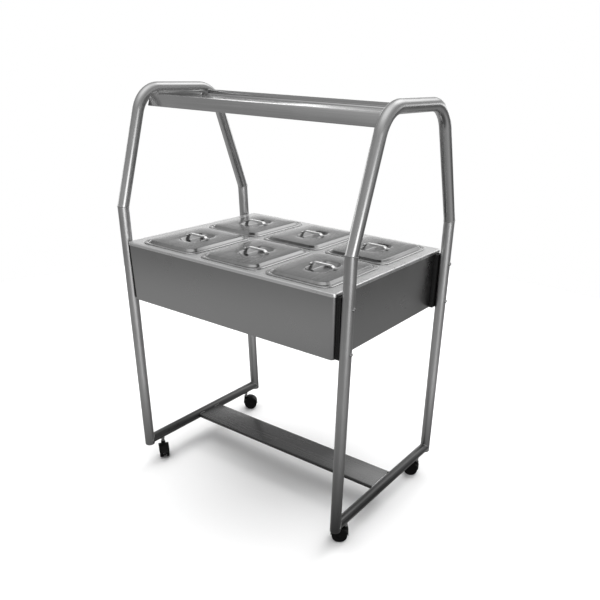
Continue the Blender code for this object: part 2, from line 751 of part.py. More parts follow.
def drain_valve():
    """Drop pipe from the well and a ball valve lying towards the rear."""
    top = WELL_FLOOR_Z + SHEET + 0.001
    piece = cylinder("drain_valve", 0.0102, top - VALVE_Z, (0, 0, (top + VALVE_Z) / 2), BRASS)
    body = cylinder("valve_body", 0.0155, 0.052, (0, 0.012, VALVE_Z), BRASS, "Y")
    outlet = cylinder("valve_outlet", 0.0115, 0.040, (0, 0.050, VALVE_Z), BRASS, "Y")
    for extra in (body, outlet):
        extra.data.transform(Matrix.Translation(extra.location))
        extra.location = (DRAIN_X, DRAIN_Y, 0)
        boolean(piece, extra, "UNION")
    piece.data.transform(Matrix.Translation(piece.location))
    piece.location = (DRAIN_X, DRAIN_Y, 0)
    return piece


def drain_lever():
    """Quarter-turn lever under the valve, on a vertical spindle."""
    spindle_y = 0.012
    stem_top = -0.0155 - 2 * GAP
    piece = cylinder("drain_lever", 0.005, 0.010, (0, 0, 0), BRIGHT_STEEL, "Z", 12)
    piece.data.transform(Matrix.Translation((0, 0, stem_top - 0.005)))
    arm = box("lever_arm", (0.075, 0.014, 0.003), (0, 0, 0), BRIGHT_STEEL)
    arm.data.transform(Matrix.Translation((0.030, 0, stem_top - 0.0085)))
    arm.location = (DRAIN_X, DRAIN_Y + spindle_y, VALVE_Z)
    piece.location = arm.location
    return boolean(piece, arm, "UNION")


# ---------------------------------------------------------------- assembly
BOLT_LINES = bolt_lines()


def build():
    for side, sign in SIDES.items():
        side_frame(side, sign)
        for end, end_sign in ENDS.items():
            spacer(side, end, sign, end_sign)
            bolt_plate(side, end, sign, end_sign)
            name = f"{side}_{end}"
            x, y = sign * FRAME_X, end_sign * CASTER_Y
            angle = CASTER_ANGLES[side, end]
            caster_stem(name, x, y)
            caster_housing(name, x, y, angle)
            caster_wheels(name, x, y, angle)
    outer_casing()
    casing_base()
    top_plate()
    water_well()
    insulation()
    heating_element()
    for name, x, y in pan_places():
        food_pan(name, x, y)
        pan_lid(name, x, y)
        lid_handle(name, x, y)
    overshelf()
    stretcher_channel()
    thermostat()
    control_knob()
    power_inlet()
    drain_valve()
    drain_lever()


build()
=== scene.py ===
"""Looks of the steam table unit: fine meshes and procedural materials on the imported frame."""
import json
import math

import bmesh
import bpy
import numpy as np
from mathutils import Matrix, Vector


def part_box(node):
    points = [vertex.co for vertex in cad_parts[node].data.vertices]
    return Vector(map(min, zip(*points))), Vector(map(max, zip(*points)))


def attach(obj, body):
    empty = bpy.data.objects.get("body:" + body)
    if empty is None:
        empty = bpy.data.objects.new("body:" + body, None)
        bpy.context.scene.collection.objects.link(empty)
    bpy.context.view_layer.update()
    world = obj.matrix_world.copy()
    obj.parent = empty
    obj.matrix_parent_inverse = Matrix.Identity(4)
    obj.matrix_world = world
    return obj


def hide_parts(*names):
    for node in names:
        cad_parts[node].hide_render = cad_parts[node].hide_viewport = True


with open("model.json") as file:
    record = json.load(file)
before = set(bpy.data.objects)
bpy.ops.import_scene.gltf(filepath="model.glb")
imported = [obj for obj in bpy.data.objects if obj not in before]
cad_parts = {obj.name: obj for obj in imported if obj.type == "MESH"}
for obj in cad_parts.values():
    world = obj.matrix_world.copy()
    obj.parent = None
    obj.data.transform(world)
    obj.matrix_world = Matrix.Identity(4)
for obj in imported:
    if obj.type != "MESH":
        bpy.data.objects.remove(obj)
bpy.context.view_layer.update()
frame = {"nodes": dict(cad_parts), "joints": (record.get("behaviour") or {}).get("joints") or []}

SIDES = {"left": -1, "right": 1}
ENDS = {"front": -1, "rear": 1}
PAN_NAMES = [f"{row}_{column}" for row in ENDS for column in ("left", "middle", "right")]


def middle(node):
    low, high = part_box(node)
    return (low + high) / 2


# -------- sizes read from the frame
HOOP_LOW, HOOP_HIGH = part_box("right_hoop")
LEG_FOOT_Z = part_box("right_rear_leg")[0].z
CASING_LOW, CASING_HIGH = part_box("outer_casing")
PLATE_LOW, PLATE_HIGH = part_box("top_plate")
WELL_LOW, WELL_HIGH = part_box("water_well")
SHELF_LOW, SHELF_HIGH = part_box("overshelf")
CHANNEL_LOW, CHANNEL_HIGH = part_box("stretcher_channel")
DRAIN_X = middle("drain_valve").x
DRAIN_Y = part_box("drain_valve")[0].y + 0.014

TUBE_R = (HOOP_HIGH.x - HOOP_LOW.x) / 2
FRAME_X = middle("right_hoop").x
RAIL_Z = middle("right_bottom_rail").z
HOOP_TOP_Z = HOOP_HIGH.z - TUBE_R
BORE_R = 0.0185

# Shape of the side frames: the same driving sizes as the CAD part.
FOOT_Y = 0.350
ELBOW_Y = 0.322
ELBOW_Z = 1.089
HOOP_LEAN = 0.38
HOOP_BEND_R = 0.110

SHEET = 0.002
SHELF_SHEET = 0.0015
SHELF_SLOPE = 0.46
SHELF_UPSTAND = 0.012
PAN_HALF = (0.1325, 0.1625)
PAN_SHEET = 0.0015
PAN_DEPTH = 0.150
LID_SHEET = 0.0012
LID_RISE = 0.008
DISH = (0.042, 0.070, 0.032)
DISH_DEPTH = 0.013
STRAP_THICK = 0.0025

RIVETS = 5
VENTS = 6
VENT_AT = (0.12, 0.20)
VENT_STEP = 0.028

TUBE_SIDES = 40
HOOP_STEPS = 18
RING_STEPS = 8
JOINTS = {joint["name"]: joint for joint in frame["joints"]}


# -------- materials
class Graph:
    """Short hand for building the node tree of a material or a world."""

    def __init__(self, owner):
        owner.use_nodes = True
        self.owner = owner
        self.tree = owner.node_tree

    def node(self, kind, inputs=None, **settings):
        """A new node, with its inputs by socket: outputs to link, or values to set."""
        made = self.tree.nodes.new("ShaderNode" + kind)
        for key, value in settings.items():
            setattr(made, key, value)
        self.feed(made, inputs or {})
        return made

    def feed(self, node, inputs):
        for key, value in inputs.items():
            if isinstance(value, bpy.types.NodeSocket):
                self.tree.links.new(value, node.inputs[key])
            else:
                node.inputs[key].default_value = value

    def where(self, attribute=None):
        """The coordinate that patterns follow: a piece's own grain, or its place in space."""
        if attribute:
            return self.node("Attribute", attribute_name=attribute).outputs["Vector"]
        return self.node("TexCoord").outputs["Object"]

    def noise(self, where, scale, detail=3.0, rough=0.55, stretch=(1, 1, 1)):
        mapping = self.node("Mapping", {"Vector": where,
                                        "Scale": [scale * axis for axis in stretch]})
        noise = self.node("TexNoise", {"Vector": mapping.outputs["Vector"], "Scale": 1.0,
                                       "Detail": detail, "Roughness": rough})
        return noise.outputs["Fac"]

    def spread(self, value, low, high, start=0.3, stop=0.7, kind="LINEAR"):
        """Map a value's start..stop on to low..high."""
        ranged = self.node("MapRange", {"Value": value, "From Min": start, "From Max": stop,
                                        "To Min": low, "To Max": high}, interpolation_type=kind)
        return ranged.outputs["Result"]

    def math(self, operation, first, second):
        return self.node("Math", {0: first, 1: second}, operation=operation).outputs[0]

    def add(self, first, second):
        return self.math("ADD", first, second)

    def product(self, *factors):
        total = factors[0]
        for factor in factors[1:]:
            total = self.math("MULTIPLY", total, factor)
        return total

    def grey(self, value):
        return self.node("CombineColor", {0: value, 1: value, 2: value}).outputs[0]

    def blend(self, fac, first, second):
        return self.node("Mix", {0: fac, 6: first, 7: second}, data_type="RGBA").outputs[2]

    def bump(self, height, distance, strength=1.0, base=None):
        made = self.node("Bump", {"Height": height, "Distance": distance, "Strength": strength})
        if base is not None:
            self.feed(made, {"Normal": base})
        return made.outputs["Normal"]

    def finish(self, colour, roughness, normal, metallic=0.0, **sockets):
        named = {key.replace("_", " "): value for key, value in sockets.items()}
        self.feed(self.tree.nodes["Principled BSDF"],
                  {"Base Color": colour, "Roughness": roughness, "Normal": normal,
                   "Metallic": metallic, **named})
        return self.owner


def edge_wear(graph):
    """Where edges stand proud, from 0 to 1."""
    return graph.spread(graph.node("NewGeometry").outputs["Pointiness"], 0.0, 1.0, 0.52, 0.62)


def steel(name, base, roughness, grain="grain", brush=1.0, waves=0.0, painted_shade=None,
          smudge=0.10, worn=True):
    """Brushed stainless: fine lines along the grain, broad streaks, smudges and worn edges.

    The painted-shade tuple darkens one end of a piece with painted shade: (axis, start, stop, low,
    high).
    """
    graph = Graph(bpy.data.materials.new(name))
    where = graph.where(grain)
    place = graph.where()
    fine = graph.noise(where, 1.0, 3.0, 0.6, (14, 1500, 1500))
    lines = graph.noise(where, 1.0, 2.0, 0.5, (5, 420, 420))
    streaks = graph.noise(where, 1.0, 3.0, 0.5, (1.2, 55, 55))
    blots = graph.noise(place, 7.0, 4.0, 0.6)
    specks = graph.noise(place, 120.0, 2.0, 0.5)
    tones = [graph.spread(streaks, 1 - smudge, 1 + smudge),
             graph.spread(lines, 1 - 0.06 * brush, 1 + 0.06 * brush),
             graph.spread(blots, 1 - 0.6 * smudge, 1.0),
             graph.spread(specks, 0.97, 1.0, 0.28, 0.36)]
    # Painted shade: the base colour darkens towards one end along an axis.
    if painted_shade:
        axis, start, stop, low, high = painted_shade
        along = graph.node("SeparateXYZ", {0: place}).outputs[axis]
        tones.append(graph.spread(along, low, high, start, stop))
    value = graph.product(*tones, base)
    colour = graph.grey(value)
    if worn:
        bright = graph.grey(graph.add(graph.product(value, 0.9), 0.10))
        colour = graph.blend(edge_wear(graph), colour, bright)
    rough = graph.add(graph.spread(fine, -0.05, 0.05),
                      graph.spread(blots, roughness - 0.05, roughness + 0.06))
    rough = graph.add(rough, graph.spread(streaks, -0.03, 0.03))
    normal = graph.bump(fine, 0.00002 * brush, 0.5)
    normal = graph.bump(lines, 0.00003 * brush, 0.4, normal)
    if waves:
        normal = graph.bump(graph.noise(place, 3.2, 1.0, 0.4), waves, 0.6, normal)
    return graph.finish(colour, rough, normal, 1.0)


def plastic(name, base, roughness, grainy=1.0, dust=0.04, scale=900.0, edge=0.04, gloss=0.25):
    """Moulded plastic: a fine spark-eroded texture, scuffs, pale edges and settled dust."""
    graph = Graph(bpy.data.materials.new(name))
    place = graph.where()
    skin = graph.noise(place, scale, 2.0, 0.6)
    scuffs = graph.noise(place, 60.0, 4.0, 0.65, (1, 1, 3))
    clouds = graph.noise(place, 18.0, 3.0, 0.5)
    facing = graph.node("SeparateXYZ", {0: graph.node("NewGeometry").outputs["Normal"]})
    settled = graph.product(graph.spread(facing.outputs["Z"], 0.0, 1.0, 0.3, 1.0),
                            graph.spread(clouds, 0.3, 1.0), dust)
    value = graph.add(graph.product(graph.spread(scuffs, 0.8, 1.25), base), settled)
    worn = graph.blend(edge_wear(graph), graph.grey(value), graph.grey(graph.add(value, edge)))
    rough = graph.add(graph.spread(skin, -0.06, 0.06),
                      graph.spread(scuffs, roughness - 0.06, roughness + 0.10))
    normal = graph.bump(skin, 0.00006 * grainy, 0.6)
    normal = graph.bump(scuffs, 0.0001, 0.15, normal)
    return graph.finish(worn, rough, normal, Specular_IOR_Level=gloss)


def brass():
    graph = Graph(bpy.data.materials.new("brass"))
    place = graph.where()
    stain = graph.noise(place, 90.0, 4.0, 0.6)
    fine = graph.noise(place, 1200.0, 2.0, 0.5)
    colour = graph.blend(graph.spread(stain, 0.0, 1.0, 0.35, 0.7),
                         (0.72, 0.53, 0.24, 1.0), (0.42, 0.27, 0.11, 1.0))
    return graph.finish(colour, graph.spread(stain, 0.24, 0.42),
                        graph.bump(fine, 0.00003, 0.5), 1.0)


def wool():
    graph = Graph(bpy.data.materials.new("mineral_wool"))
    place = graph.where()
    tufts = graph.noise(place, 260.0, 6.0, 0.7)
    clumps = graph.noise(place, 30.0, 4.0, 0.6)
    colour = graph.blend(graph.spread(clumps, 0.0, 1.0),
                         (0.58, 0.52, 0.36, 1.0), (0.40, 0.35, 0.22, 1.0))
    return graph.finish(colour, graph.spread(tufts, 0.85, 1.0), graph.bump(tufts, 0.002, 0.9),
                        0.0, Sheen_Weight=0.3)


def floor_paint():
    graph = Graph(bpy.data.materials.new("studio_floor"))
    place = graph.where()
    clouds = graph.noise(place, 0.8, 2.0, 0.5)
    fine = graph.noise(place, 40.0, 3.0, 0.5)
    return graph.finish(graph.grey(graph.spread(clouds, 0.90, 0.93)),
                        graph.spread(fine, 0.62, 0.74), graph.bump(fine, 0.0002, 0.1), 0.0,
                        Specular_IOR_Level=0.2)


# Painted shade: the legs darken towards the floor, standing in for the dark floor they reflect.
LEG_PAINTED_SHADE = ("Z", 0.08, 0.42, 0.40, 1.0)
# Painted shade: the right front leg darkens strongly towards the floor, standing in for its
# shadowed reflection.
FRONT_RIGHT_LEG_PAINTED_SHADE = ("Z", 0.10, 0.62, 0.14, 1.0)
# Painted shade: the bottom rails darken towards their front ends, on a steel much darker than the
# legs' own.
RAIL_PAINTED_SHADE = ("Y", -0.34, 0.30, 0.30, 1.0)
# Painted shade: the stretcher channel darkens below its top face, so its lips read as shaded.
LIP_PAINTED_SHADE = ("Z", 0.1145, 0.1165, 0.4, 1.0)
LOOKS = {
    "tube": ("satin_tube", steel("satin_tube", 0.50, 0.25, brush=0.7)),
    # Painted shade: the legs darken towards the floor.
    "leg": ("satin_tube", steel("satin_leg", 0.53, 0.38, painted_shade=LEG_PAINTED_SHADE, brush=0.7)),
    # Painted shade: a darker copy of the leg steel, for the right front leg only.
    "painted_shade_leg": ("satin_tube", steel("shaded_leg", 0.44, 0.34, painted_shade=FRONT_RIGHT_LEG_PAINTED_SHADE, brush=0.7)),
    # Painted shade: the rails use a darker copy of the tube steel.
    "rail": ("satin_tube", steel("satin_rail", 0.14, 0.34, painted_shade=RAIL_PAINTED_SHADE, brush=0.7)),
    "weld": ("satin_tube", steel("weld_bead", 0.45, 0.36, smudge=0.25)),
    "panel": ("sheet_steel", steel("panel_sheet", 0.38, 0.30, waves=0.0006, smudge=0.07,
                                   worn=False)),
    "shelf": ("sheet_steel", steel("shelf_sheet", 0.45, 0.15, waves=0.0002, smudge=0.07,
                                   worn=False)),
    # Painted shade on the channel's lips, below its top face.
    "channel": ("sheet_steel", steel("channel_sheet", 0.14, 0.24, waves=0.0002, painted_shade=LIP_PAINTED_SHADE,
                                     smudge=0.05, brush=0.6, worn=False)),
    "rim": ("bright_steel", steel("rim_sheet", 0.88, 0.30, brush=0.4, smudge=0.03, worn=False)),
    "well": ("bright_steel", steel("well_sheet", 0.60, 0.30, waves=0.0004)),
    "pan": ("bright_steel", steel("pan_steel", 0.55, 0.22, smudge=0.06)),
    "lid": ("pressed_steel", steel("lid_steel", 0.32, 0.20, smudge=0.06, brush=0.7)),
    "handle": ("bright_steel", steel("handle_steel", 0.60, 0.20)),
    "bolt": ("bright_steel", steel("bolt_steel", 0.36, 0.26)),
    "hidden": ("bright_steel", steel("heater_steel", 0.30, 0.45, grain=None)),
    "black": ("black_plastic", plastic("black_plastic", 0.010, 0.46)),
    "rubber": ("black_plastic", plastic("spacer_rubber", 0.005, 0.66, 1.6, 0.008, edge=0.01)),
    "hood": ("black_plastic", plastic("caster_nylon", 0.003, 0.42, dust=0.002, edge=0.006,
                                      gloss=0.09)),
    "tread": ("wheel_tread", plastic("wheel_tread", 0.003, 0.56, 1.4, 0.003, 500.0, 0.006, 0.09)),
    "hub": ("wheel_tread", plastic("wheel_hub", 0.004, 0.40, dust=0.002, edge=0.008, gloss=0.12)),
    "mark": ("black_plastic", plastic("dial_paint", 0.62, 0.45, 0.6, 0.0)),
    "brass": ("brass", brass()),
    "wool": ("mineral_wool", wool()),
}


# -------- mesh tools
def add(name, bm, look, body="root", nodes=(), grain="x", sharp=32.0, bevel=0.0, cut=()):
    """Make a finished piece of a bmesh, less its cutters, which go once they have cut.

    grain names the world axis the brushing runs along.
    """
    has_grain = bm.verts.layers.float_vector.get("grain") is not None
    obj = solid(name, bm)
    mesh = obj.data
    for tool in cut:
        modifier = obj.modifiers.new("cut", "BOOLEAN")
        modifier.operation = "DIFFERENCE"
        modifier.solver = "EXACT"
        modifier.object = tool
    if bevel:
        modifier = obj.modifiers.new("edges", "BEVEL")
        modifier.width = bevel
        modifier.segments = 2
        modifier.limit_method = "ANGLE"
        modifier.angle_limit = math.radians(40)
        modifier.use_clamp_overlap = True
    if obj.modifiers:
        bpy.context.view_layer.update()
        evaluated = obj.evaluated_get(bpy.context.evaluated_depsgraph_get())
        obj.data = bpy.data.meshes.new_from_object(evaluated)
        obj.modifiers.clear()
        bpy.data.meshes.remove(mesh)
        mesh = obj.data
        mesh.name = name
    for tool in cut:
        bpy.data.objects.remove(tool, do_unlink=True)
    mesh.shade_smooth()
    mesh.set_sharp_from_angle(angle=math.radians(sharp))
    if not has_grain:
        lay_grain(mesh, grain)
    slot, material = LOOKS[look]
    mesh.materials.clear()
    mesh.materials.append(material)
    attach(obj, body)
    if nodes:
        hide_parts(*nodes)
    return obj


def lay_grain(mesh, axis):
    """Store each point's place with the brushing axis first."""
    points = np.zeros(len(mesh.vertices) * 3, np.float32)
    mesh.vertices.foreach_get("co", points)
    points = points.reshape(-1, 3)
    order = {"x": (0, 1, 2), "y": (1, 0, 2), "z": (2, 0, 1)}[axis]
    attribute = mesh.attributes.new("grain", "FLOAT_VECTOR", "POINT")
    attribute.data.foreach_set("vector", np.ascontiguousarray(points[:, order]).ravel())


def place(name, data):
    """A new object in the scene."""
    obj = bpy.data.objects.new(name, data)
    bpy.context.scene.collection.objects.link(obj)
    return obj


def solid(name, bm):
    """An object of a bmesh, with its faces turned outwards."""
    mesh = bpy.data.meshes.new(name)
    bmesh.ops.recalc_face_normals(bm, faces=bm.faces)
    bm.to_mesh(mesh)
    bm.free()
    return place(name, mesh)


def mm(*points, lift=0.0):
    """A profile given in millimetres, above a height in metres."""
    return [(radius / 1000, lift + height / 1000) for radius, height in points]


def drill(radius, at, axis, sides):
    """A cutter for a round hole."""
    return solid("hole", turned([(radius, -0.02), (radius, 0.02)], at, axis, sides))


def skin(bm, rings, close=False, cap_start=False, cap_end=False):
    """Faces between rings of vertices."""
    pairs = list(zip(rings, rings[1:]))
    if close:
        pairs.append((rings[-1], rings[0]))
    count = len(rings[0])
    for lower, upper in pairs:
        for i in range(count):
            j = (i + 1) % count
            bm.faces.new((lower[i], lower[j], upper[j], upper[i]))
    if cap_start:
        bm.faces.new(rings[0])
    if cap_end:
        bm.faces.new(rings[-1])


def loft(rings):
    """A closed body through rings of points."""
    bm = bmesh.new()
    skin(bm, [[bm.verts.new(point) for point in ring] for ring in rings], False, True, True)
    return bm


def ellipse(centre, first, second, count):
    """Points round a centre, from one half axis towards the other."""
    angles = [2 * math.pi * k / count for k in range(count)]
    return [Vector([c + a * math.cos(angle) + b * math.sin(angle)
                    for c, a, b in zip(centre, first, second)]) for angle in angles]


def arc(radius, start, stop, steps, centre):
    """2D points along an arc between two angles in degrees."""
    points = []
    for i in range(steps + 1):
        angle = math.radians(start + (stop - start) * i / steps)
        points.append((centre[0] + radius * math.cos(angle), centre[1] + radius * math.sin(angle)))
    return points


def rounded(half_x, half_y, radius, z, at=(0.0, 0.0), steps=RING_STEPS):
    """Points round a rounded rectangle."""
    points = []
    for index, (sx, sy) in enumerate(((1, 1), (-1, 1), (-1, -1), (1, -1))):
        centre = (at[0] + sx * (half_x - radius), at[1] + sy * (half_y - radius))
        points += [(x, y, z) for x, y in
                   arc(radius, 90 * index, 90 * index + 90, steps, centre)]
    return points


def fillet(points, radius, steps=5):
    """Round the inner corners of a 2D line."""
    points = [Vector(point) for point in points]
    line = [points[0]]
    for before, corner, after in zip(points, points[1:], points[2:]):
        to_before = (before - corner).normalized()
        to_after = (after - corner).normalized()
        half = to_before.angle(to_after) / 2
        if half > math.radians(89):
            continue
        reach = min(radius / math.tan(half), 0.48 * (before - corner).length,
                    0.48 * (after - corner).length)
        actual = reach * math.tan(half)
        centre = corner + (to_before + to_after).normalized() * (actual / math.sin(half))
        start = corner + to_before * reach - centre
        stop = corner + to_after * reach - centre
        turn = start.angle_signed(stop)
        for step in range(steps + 1):
            line.append(centre + Matrix.Rotation(-turn * step / steps, 2) @ start)
    line.append(points[-1])
    return line


def offset(line, distance):
    """The 2D line moved to its left by distance."""
    moved = []
    for i, point in enumerate(line):
        normals = []
        for j in (i - 1, i):
            if 0 <= j < len(line) - 1:
                along = (line[j + 1] - line[j]).normalized()
                normals.append(Vector((-along.y, along.x)))
        normal = sum(normals, Vector((0, 0))).normalized()
        share = normal.dot(normals[0])
        moved.append(point + normal * (distance / max(share, 0.3)))
    return moved


def folded(line, thickness, low, high, radius, axis="x", steps=5, shift=0.0):
    """A folded sheet: a 2D line with rounded folds, thickened and drawn out along an axis."""
    outer = fillet(line, radius, steps)
    inner = offset(outer, thickness)
    bm = bmesh.new()
    ends = []
    for along in (low, high):
        ring = []
        for u, z in outer + inner[::-1]:
            ring.append(bm.verts.new((along, u, z) if axis == "x" else (shift + u, along, z)))
        ends.append(ring)
    skin(bm, ends)
    count = len(outer)
    for ring in ends:
        for i in range(count - 1):
            bm.faces.new((ring[i], ring[i + 1], ring[-2 - i], ring[-1 - i]))
    return bm


def pressed(rings, thickness):
    """A drawn sheet through (half x, half y, radius, z) rings from its edge to its middle."""
    line = [Vector((ring[0], ring[3])) for ring in rings]
    under = offset(line, thickness)
    sheet = list(rings)
    for (half_x, half_y, radius, _), point in zip(rings[::-1], under[::-1]):
        shift = point.x - half_x
        sheet.append((half_x + shift, half_y + shift, max(radius + shift, 0.001), point.y))
    return sheet


def place_rings(rings, at, lift):
    """A closed sheet through its upper rings, then its lower ones."""
    bm = bmesh.new()
    made = [[bm.verts.new(point) for point in rounded(hx, hy, r, z + lift, at)]
            for hx, hy, r, z in rings]
    half = len(made) // 2
    skin(bm, made[:half], cap_end=True)
    skin(bm, made[half:], cap_start=True)
    skin(bm, [made[-1], made[0]])
    return bm


def sweep(points, radius, sides=TUBE_SIDES, closed=False, bore=0.0, radii=None):
    """A tube along points, with its own grain: length first, then its straightened section."""
    points = [Vector(point) for point in points]
    count = len(points)
    bm = bmesh.new()
    layer = bm.verts.layers.float_vector.new("grain")
    tangents = []
    for i in range(count):
        if closed:
            along = points[(i + 1) % count] - points[i - 1]
        else:
            along = points[min(i + 1, count - 1)] - points[max(i - 1, 0)]
        tangents.append(along.normalized())
    reference = Vector((1, 0, 0))
    if abs(tangents[0].dot(reference)) > 0.9:
        reference = Vector((0, 0, 1))
    across = (reference - tangents[0] * reference.dot(tangents[0])).normalized()
    length = 0.0
    rings, inner = [], []
    for i, (point, tangent) in enumerate(zip(points, tangents)):
        across = (across - tangent * across.dot(tangent)).normalized()
        other = tangent.cross(across)
        if i:
            length += (point - points[i - 1]).length
        size = radii[i] if radii else radius
        for target, r in ((rings, size), (inner, bore)):
            if not r:
                continue
            ring = []
            for k in range(sides):
                angle = 2 * math.pi * k / sides
                local = (math.cos(angle) * r, math.sin(angle) * r)
                vert = bm.verts.new(point + across * local[0] + other * local[1])
                vert[layer] = (length, *local)
                ring.append(vert)
            target.append(ring)
    if closed:
        skin(bm, rings, close=True)
    elif bore:
        skin(bm, rings + inner[::-1], close=True)
    else:
        skin(bm, rings, cap_start=True, cap_end=True)
    return bm, rings, inner


def turned(profile, at=(0, 0, 0), axis="z", sides=40, ridges=0, depth=0.0):
    """A turned shape from (radius, height) points, about an axis through a point."""
    bm = bmesh.new()
    layer = bm.verts.layers.float_vector.new("grain")
    turn = {"z": Matrix.Identity(3), "x": Matrix.Rotation(math.pi / 2, 3, "Y"),
            "y": Matrix.Rotation(-math.pi / 2, 3, "X")}[axis] if isinstance(axis, str) else axis
    rings = []
    for radius, height in profile:
        ring = []
        for k in range(sides):
            angle = 2 * math.pi * k / sides
            r = radius * (1 - depth * (0.5 + 0.5 * math.cos(ridges * angle))) if ridges else radius
            spot = Vector((r * math.cos(angle), r * math.sin(angle), height))
            vert = bm.verts.new(turn @ spot + Vector(at))
            vert[layer] = (angle * 0.004, radius, height)
            ring.append(vert)
        rings.append(ring)
    skin(bm, rings, cap_start=True, cap_end=True)
    return bm


def block(low, high):
    bm = bmesh.new()
    bmesh.ops.create_cube(bm, size=1.0)
    low, high = Vector(low), Vector(high)
    bmesh.ops.scale(bm, vec=high - low, verts=bm.verts)
    bmesh.ops.translate(bm, vec=(low + high) / 2, verts=bm.verts)
    return bm


# -------- side frames
def leg_y(z):
    return ELBOW_Y + (FOOT_Y - ELBOW_Y) * (ELBOW_Z - z) / (ELBOW_Z - RAIL_Z)


def hoop_path():
    """The hoop's middle line in its own plane, as (y, z) points from front to rear."""
    turn = math.pi / 2 - math.atan(HOOP_LEAN)
    corner_y = ELBOW_Y - HOOP_LEAN * (HOOP_TOP_Z - ELBOW_Z)
    centre = (corner_y - HOOP_BEND_R * math.tan(turn / 2), HOOP_TOP_Z - HOOP_BEND_R)
    half = [(ELBOW_Y, ELBOW_Z), (ELBOW_Y - HOOP_LEAN * 0.15, ELBOW_Z + 0.15)]
    half += arc(HOOP_BEND_R, 90 - math.degrees(turn), 90, HOOP_STEPS, centre)
    return [(-y, z) for y, z in half] + half[::-1]


def flatten(walls, index, along, point, plane):
    """Slide one end of a tube's walls along it until the end lies in a plane."""
    for rings in walls:
        for vert in rings[index]:
            vert.co -= along * ((vert.co - point).dot(plane) / along.dot(plane))


def elbow(x, end_sign):
    """Point, leg direction, hoop direction and mitre normal at an elbow."""
    point = Vector((x, end_sign * ELBOW_Y, ELBOW_Z))
    leg_up = Vector((0, -end_sign * (FOOT_Y - ELBOW_Y), ELBOW_Z - RAIL_Z)).normalized()
    hoop_up = Vector((0, -end_sign * HOOP_LEAN, 1)).normalized()
    return point, leg_up, hoop_up, (leg_up + hoop_up).normalized()


def bead(name, points, radius):
    """A weld bead round a joint, with the ripple of its puddles."""
    count = len(points)
    sizes = [radius * (1 + 0.16 * math.sin(i * 2.1) + 0.08 * math.sin(i * 5.3 + 1))
             for i in range(count)]
    add(name, sweep(points, radius, 8, closed=True, radii=sizes)[0], "weld", sharp=60)


def make_hoop(side, sign):
    x = sign * FRAME_X
    path = [(x, y, z) for y, z in hoop_path()]
    bm, *walls = sweep(path, TUBE_R, bore=BORE_R)
    for end_sign, index in ((-1, 0), (1, -1)):
        point, _, hoop_up, plane = elbow(x, end_sign)
        flatten(walls, index, hoop_up, point + plane * 0.0002, plane)
    add(side + "_hoop_tube", bm, "tube", nodes=[side + "_hoop"], sharp=50)


def make_leg(name, sign, end_sign):
    x = sign * FRAME_X
    point, leg_up, _, plane = elbow(x, end_sign)
    bottom = Vector((x, end_sign * leg_y(LEG_FOOT_Z), LEG_FOOT_Z))
    path = [bottom + (point - bottom) * share for share in (0, 0.003, 0.3, 0.6, 0.8, 1)]
    radii = [TUBE_R - 0.0006] + [TUBE_R] * 5
    bm, *walls = sweep(path, TUBE_R, bore=BORE_R, radii=radii)
    flatten(walls, 0, leg_up, bottom, Vector((0, 0, 1)))
    flatten(walls, -1, leg_up, point, plane)
    # The right front leg takes the steel with painted shade.
    look = "painted_shade_leg" if name == "right_front" else "leg"
    add(name + "_leg_tube", bm, look, nodes=[name + "_leg"], sharp=50)
    across = Vector((TUBE_R, 0, 0))
    around = [spot - leg_up * ((spot - point).dot(plane) / leg_up.dot(plane))
              for spot in ellipse(point, across, leg_up.cross(across), 72)]
    bead(name + "_elbow_weld", around, 0.0013)
    plug = [(0.004, -0.0026), (TUBE_R - 0.003, -0.0022), (TUBE_R - 0.0016, -0.001),
            (BORE_R - 0.0002, -0.0006), (BORE_R - 0.0002, 0.006)]
    add(name + "_leg_plug", turned(plug, bottom + Vector((0, 0, 0.0028))), "black")


def make_rail(side, sign):
    x = sign * FRAME_X
    ys = [-FOOT_Y, -0.2, 0.0, 0.2, FOOT_Y]
    bm, *walls = sweep([(x, y, RAIL_Z) for y in ys], TUBE_R, bore=BORE_R)
    joints = {}
    for (end, end_sign), index in zip(ENDS.items(), (0, -1)):
        for rings in walls:
            for vert in rings[index]:
                across = vert.co.x - x
                reach = math.sqrt(max(TUBE_R ** 2 - across ** 2, 0.0))
                vert.co.y = end_sign * (leg_y(vert.co.z) - reach - 0.0002)
        joints[end] = [vert.co.copy() for vert in walls[0][index]]
    add(side + "_bottom_rail_tube", bm, "rail", nodes=[side + "_bottom_rail"], sharp=50)
    for end, spots in joints.items():
        around = [point for spot, following in zip(spots, spots[1:] + spots[:1])
                  for point in (spot, (spot + following) / 2)]
        bead(f"{side}_{end}_rail_weld", around, 0.0016)


def make_bolts(name, sign, end_sign):
    """Two dome-headed bolts with washers, and the backing strip inside the casing."""
    node = name + "_bolt_plate"
    low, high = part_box(node)
    skin_x = FRAME_X + TUBE_R
    plate = block((CASING_HIGH.x - SHEET - 0.0034, -0.0088, low.z),
                  (CASING_HIGH.x - SHEET - 0.0004, 0.0088, high.z))
    strip_y = end_sign * leg_y((low.z + high.z) / 2)
    for vert in plate.verts:
        vert.co.x *= sign
        vert.co.y += strip_y
    add(node + "_strip", plate, "bolt", nodes=[node], grain="z", bevel=0.0005)
    turn = Matrix.Rotation(sign * math.pi / 2, 3, "Y")
    for index, z in enumerate((low.z + 0.020, high.z - 0.020)):
        at = (sign * skin_x, end_sign * leg_y(z), z)
        washer = mm((4.2, -0.6), (7.2, -0.6), (7.4, 0.4), (7, 0.9), (4.4, 0.9))
        add(f"{node}_washer_{index}", turned(washer, at, turn, 32), "bolt", sharp=40)
        dome = mm((4, -30), (4, 0.9), (6.2, 0.9), (6.4, 1.5))
        for step in range(7):
            angle = math.radians(12 + 11 * step)
            dome.append((0.0066 * math.cos(angle), 0.0012 + 0.0041 * math.sin(angle)))
        dome += [(0.0023, 0.0050), (0.0021, 0.0030), (0.0004, 0.0028)]
        add(f"{node}_bolt_{index}", turned(dome, at, turn, 30), "bolt", sharp=40)


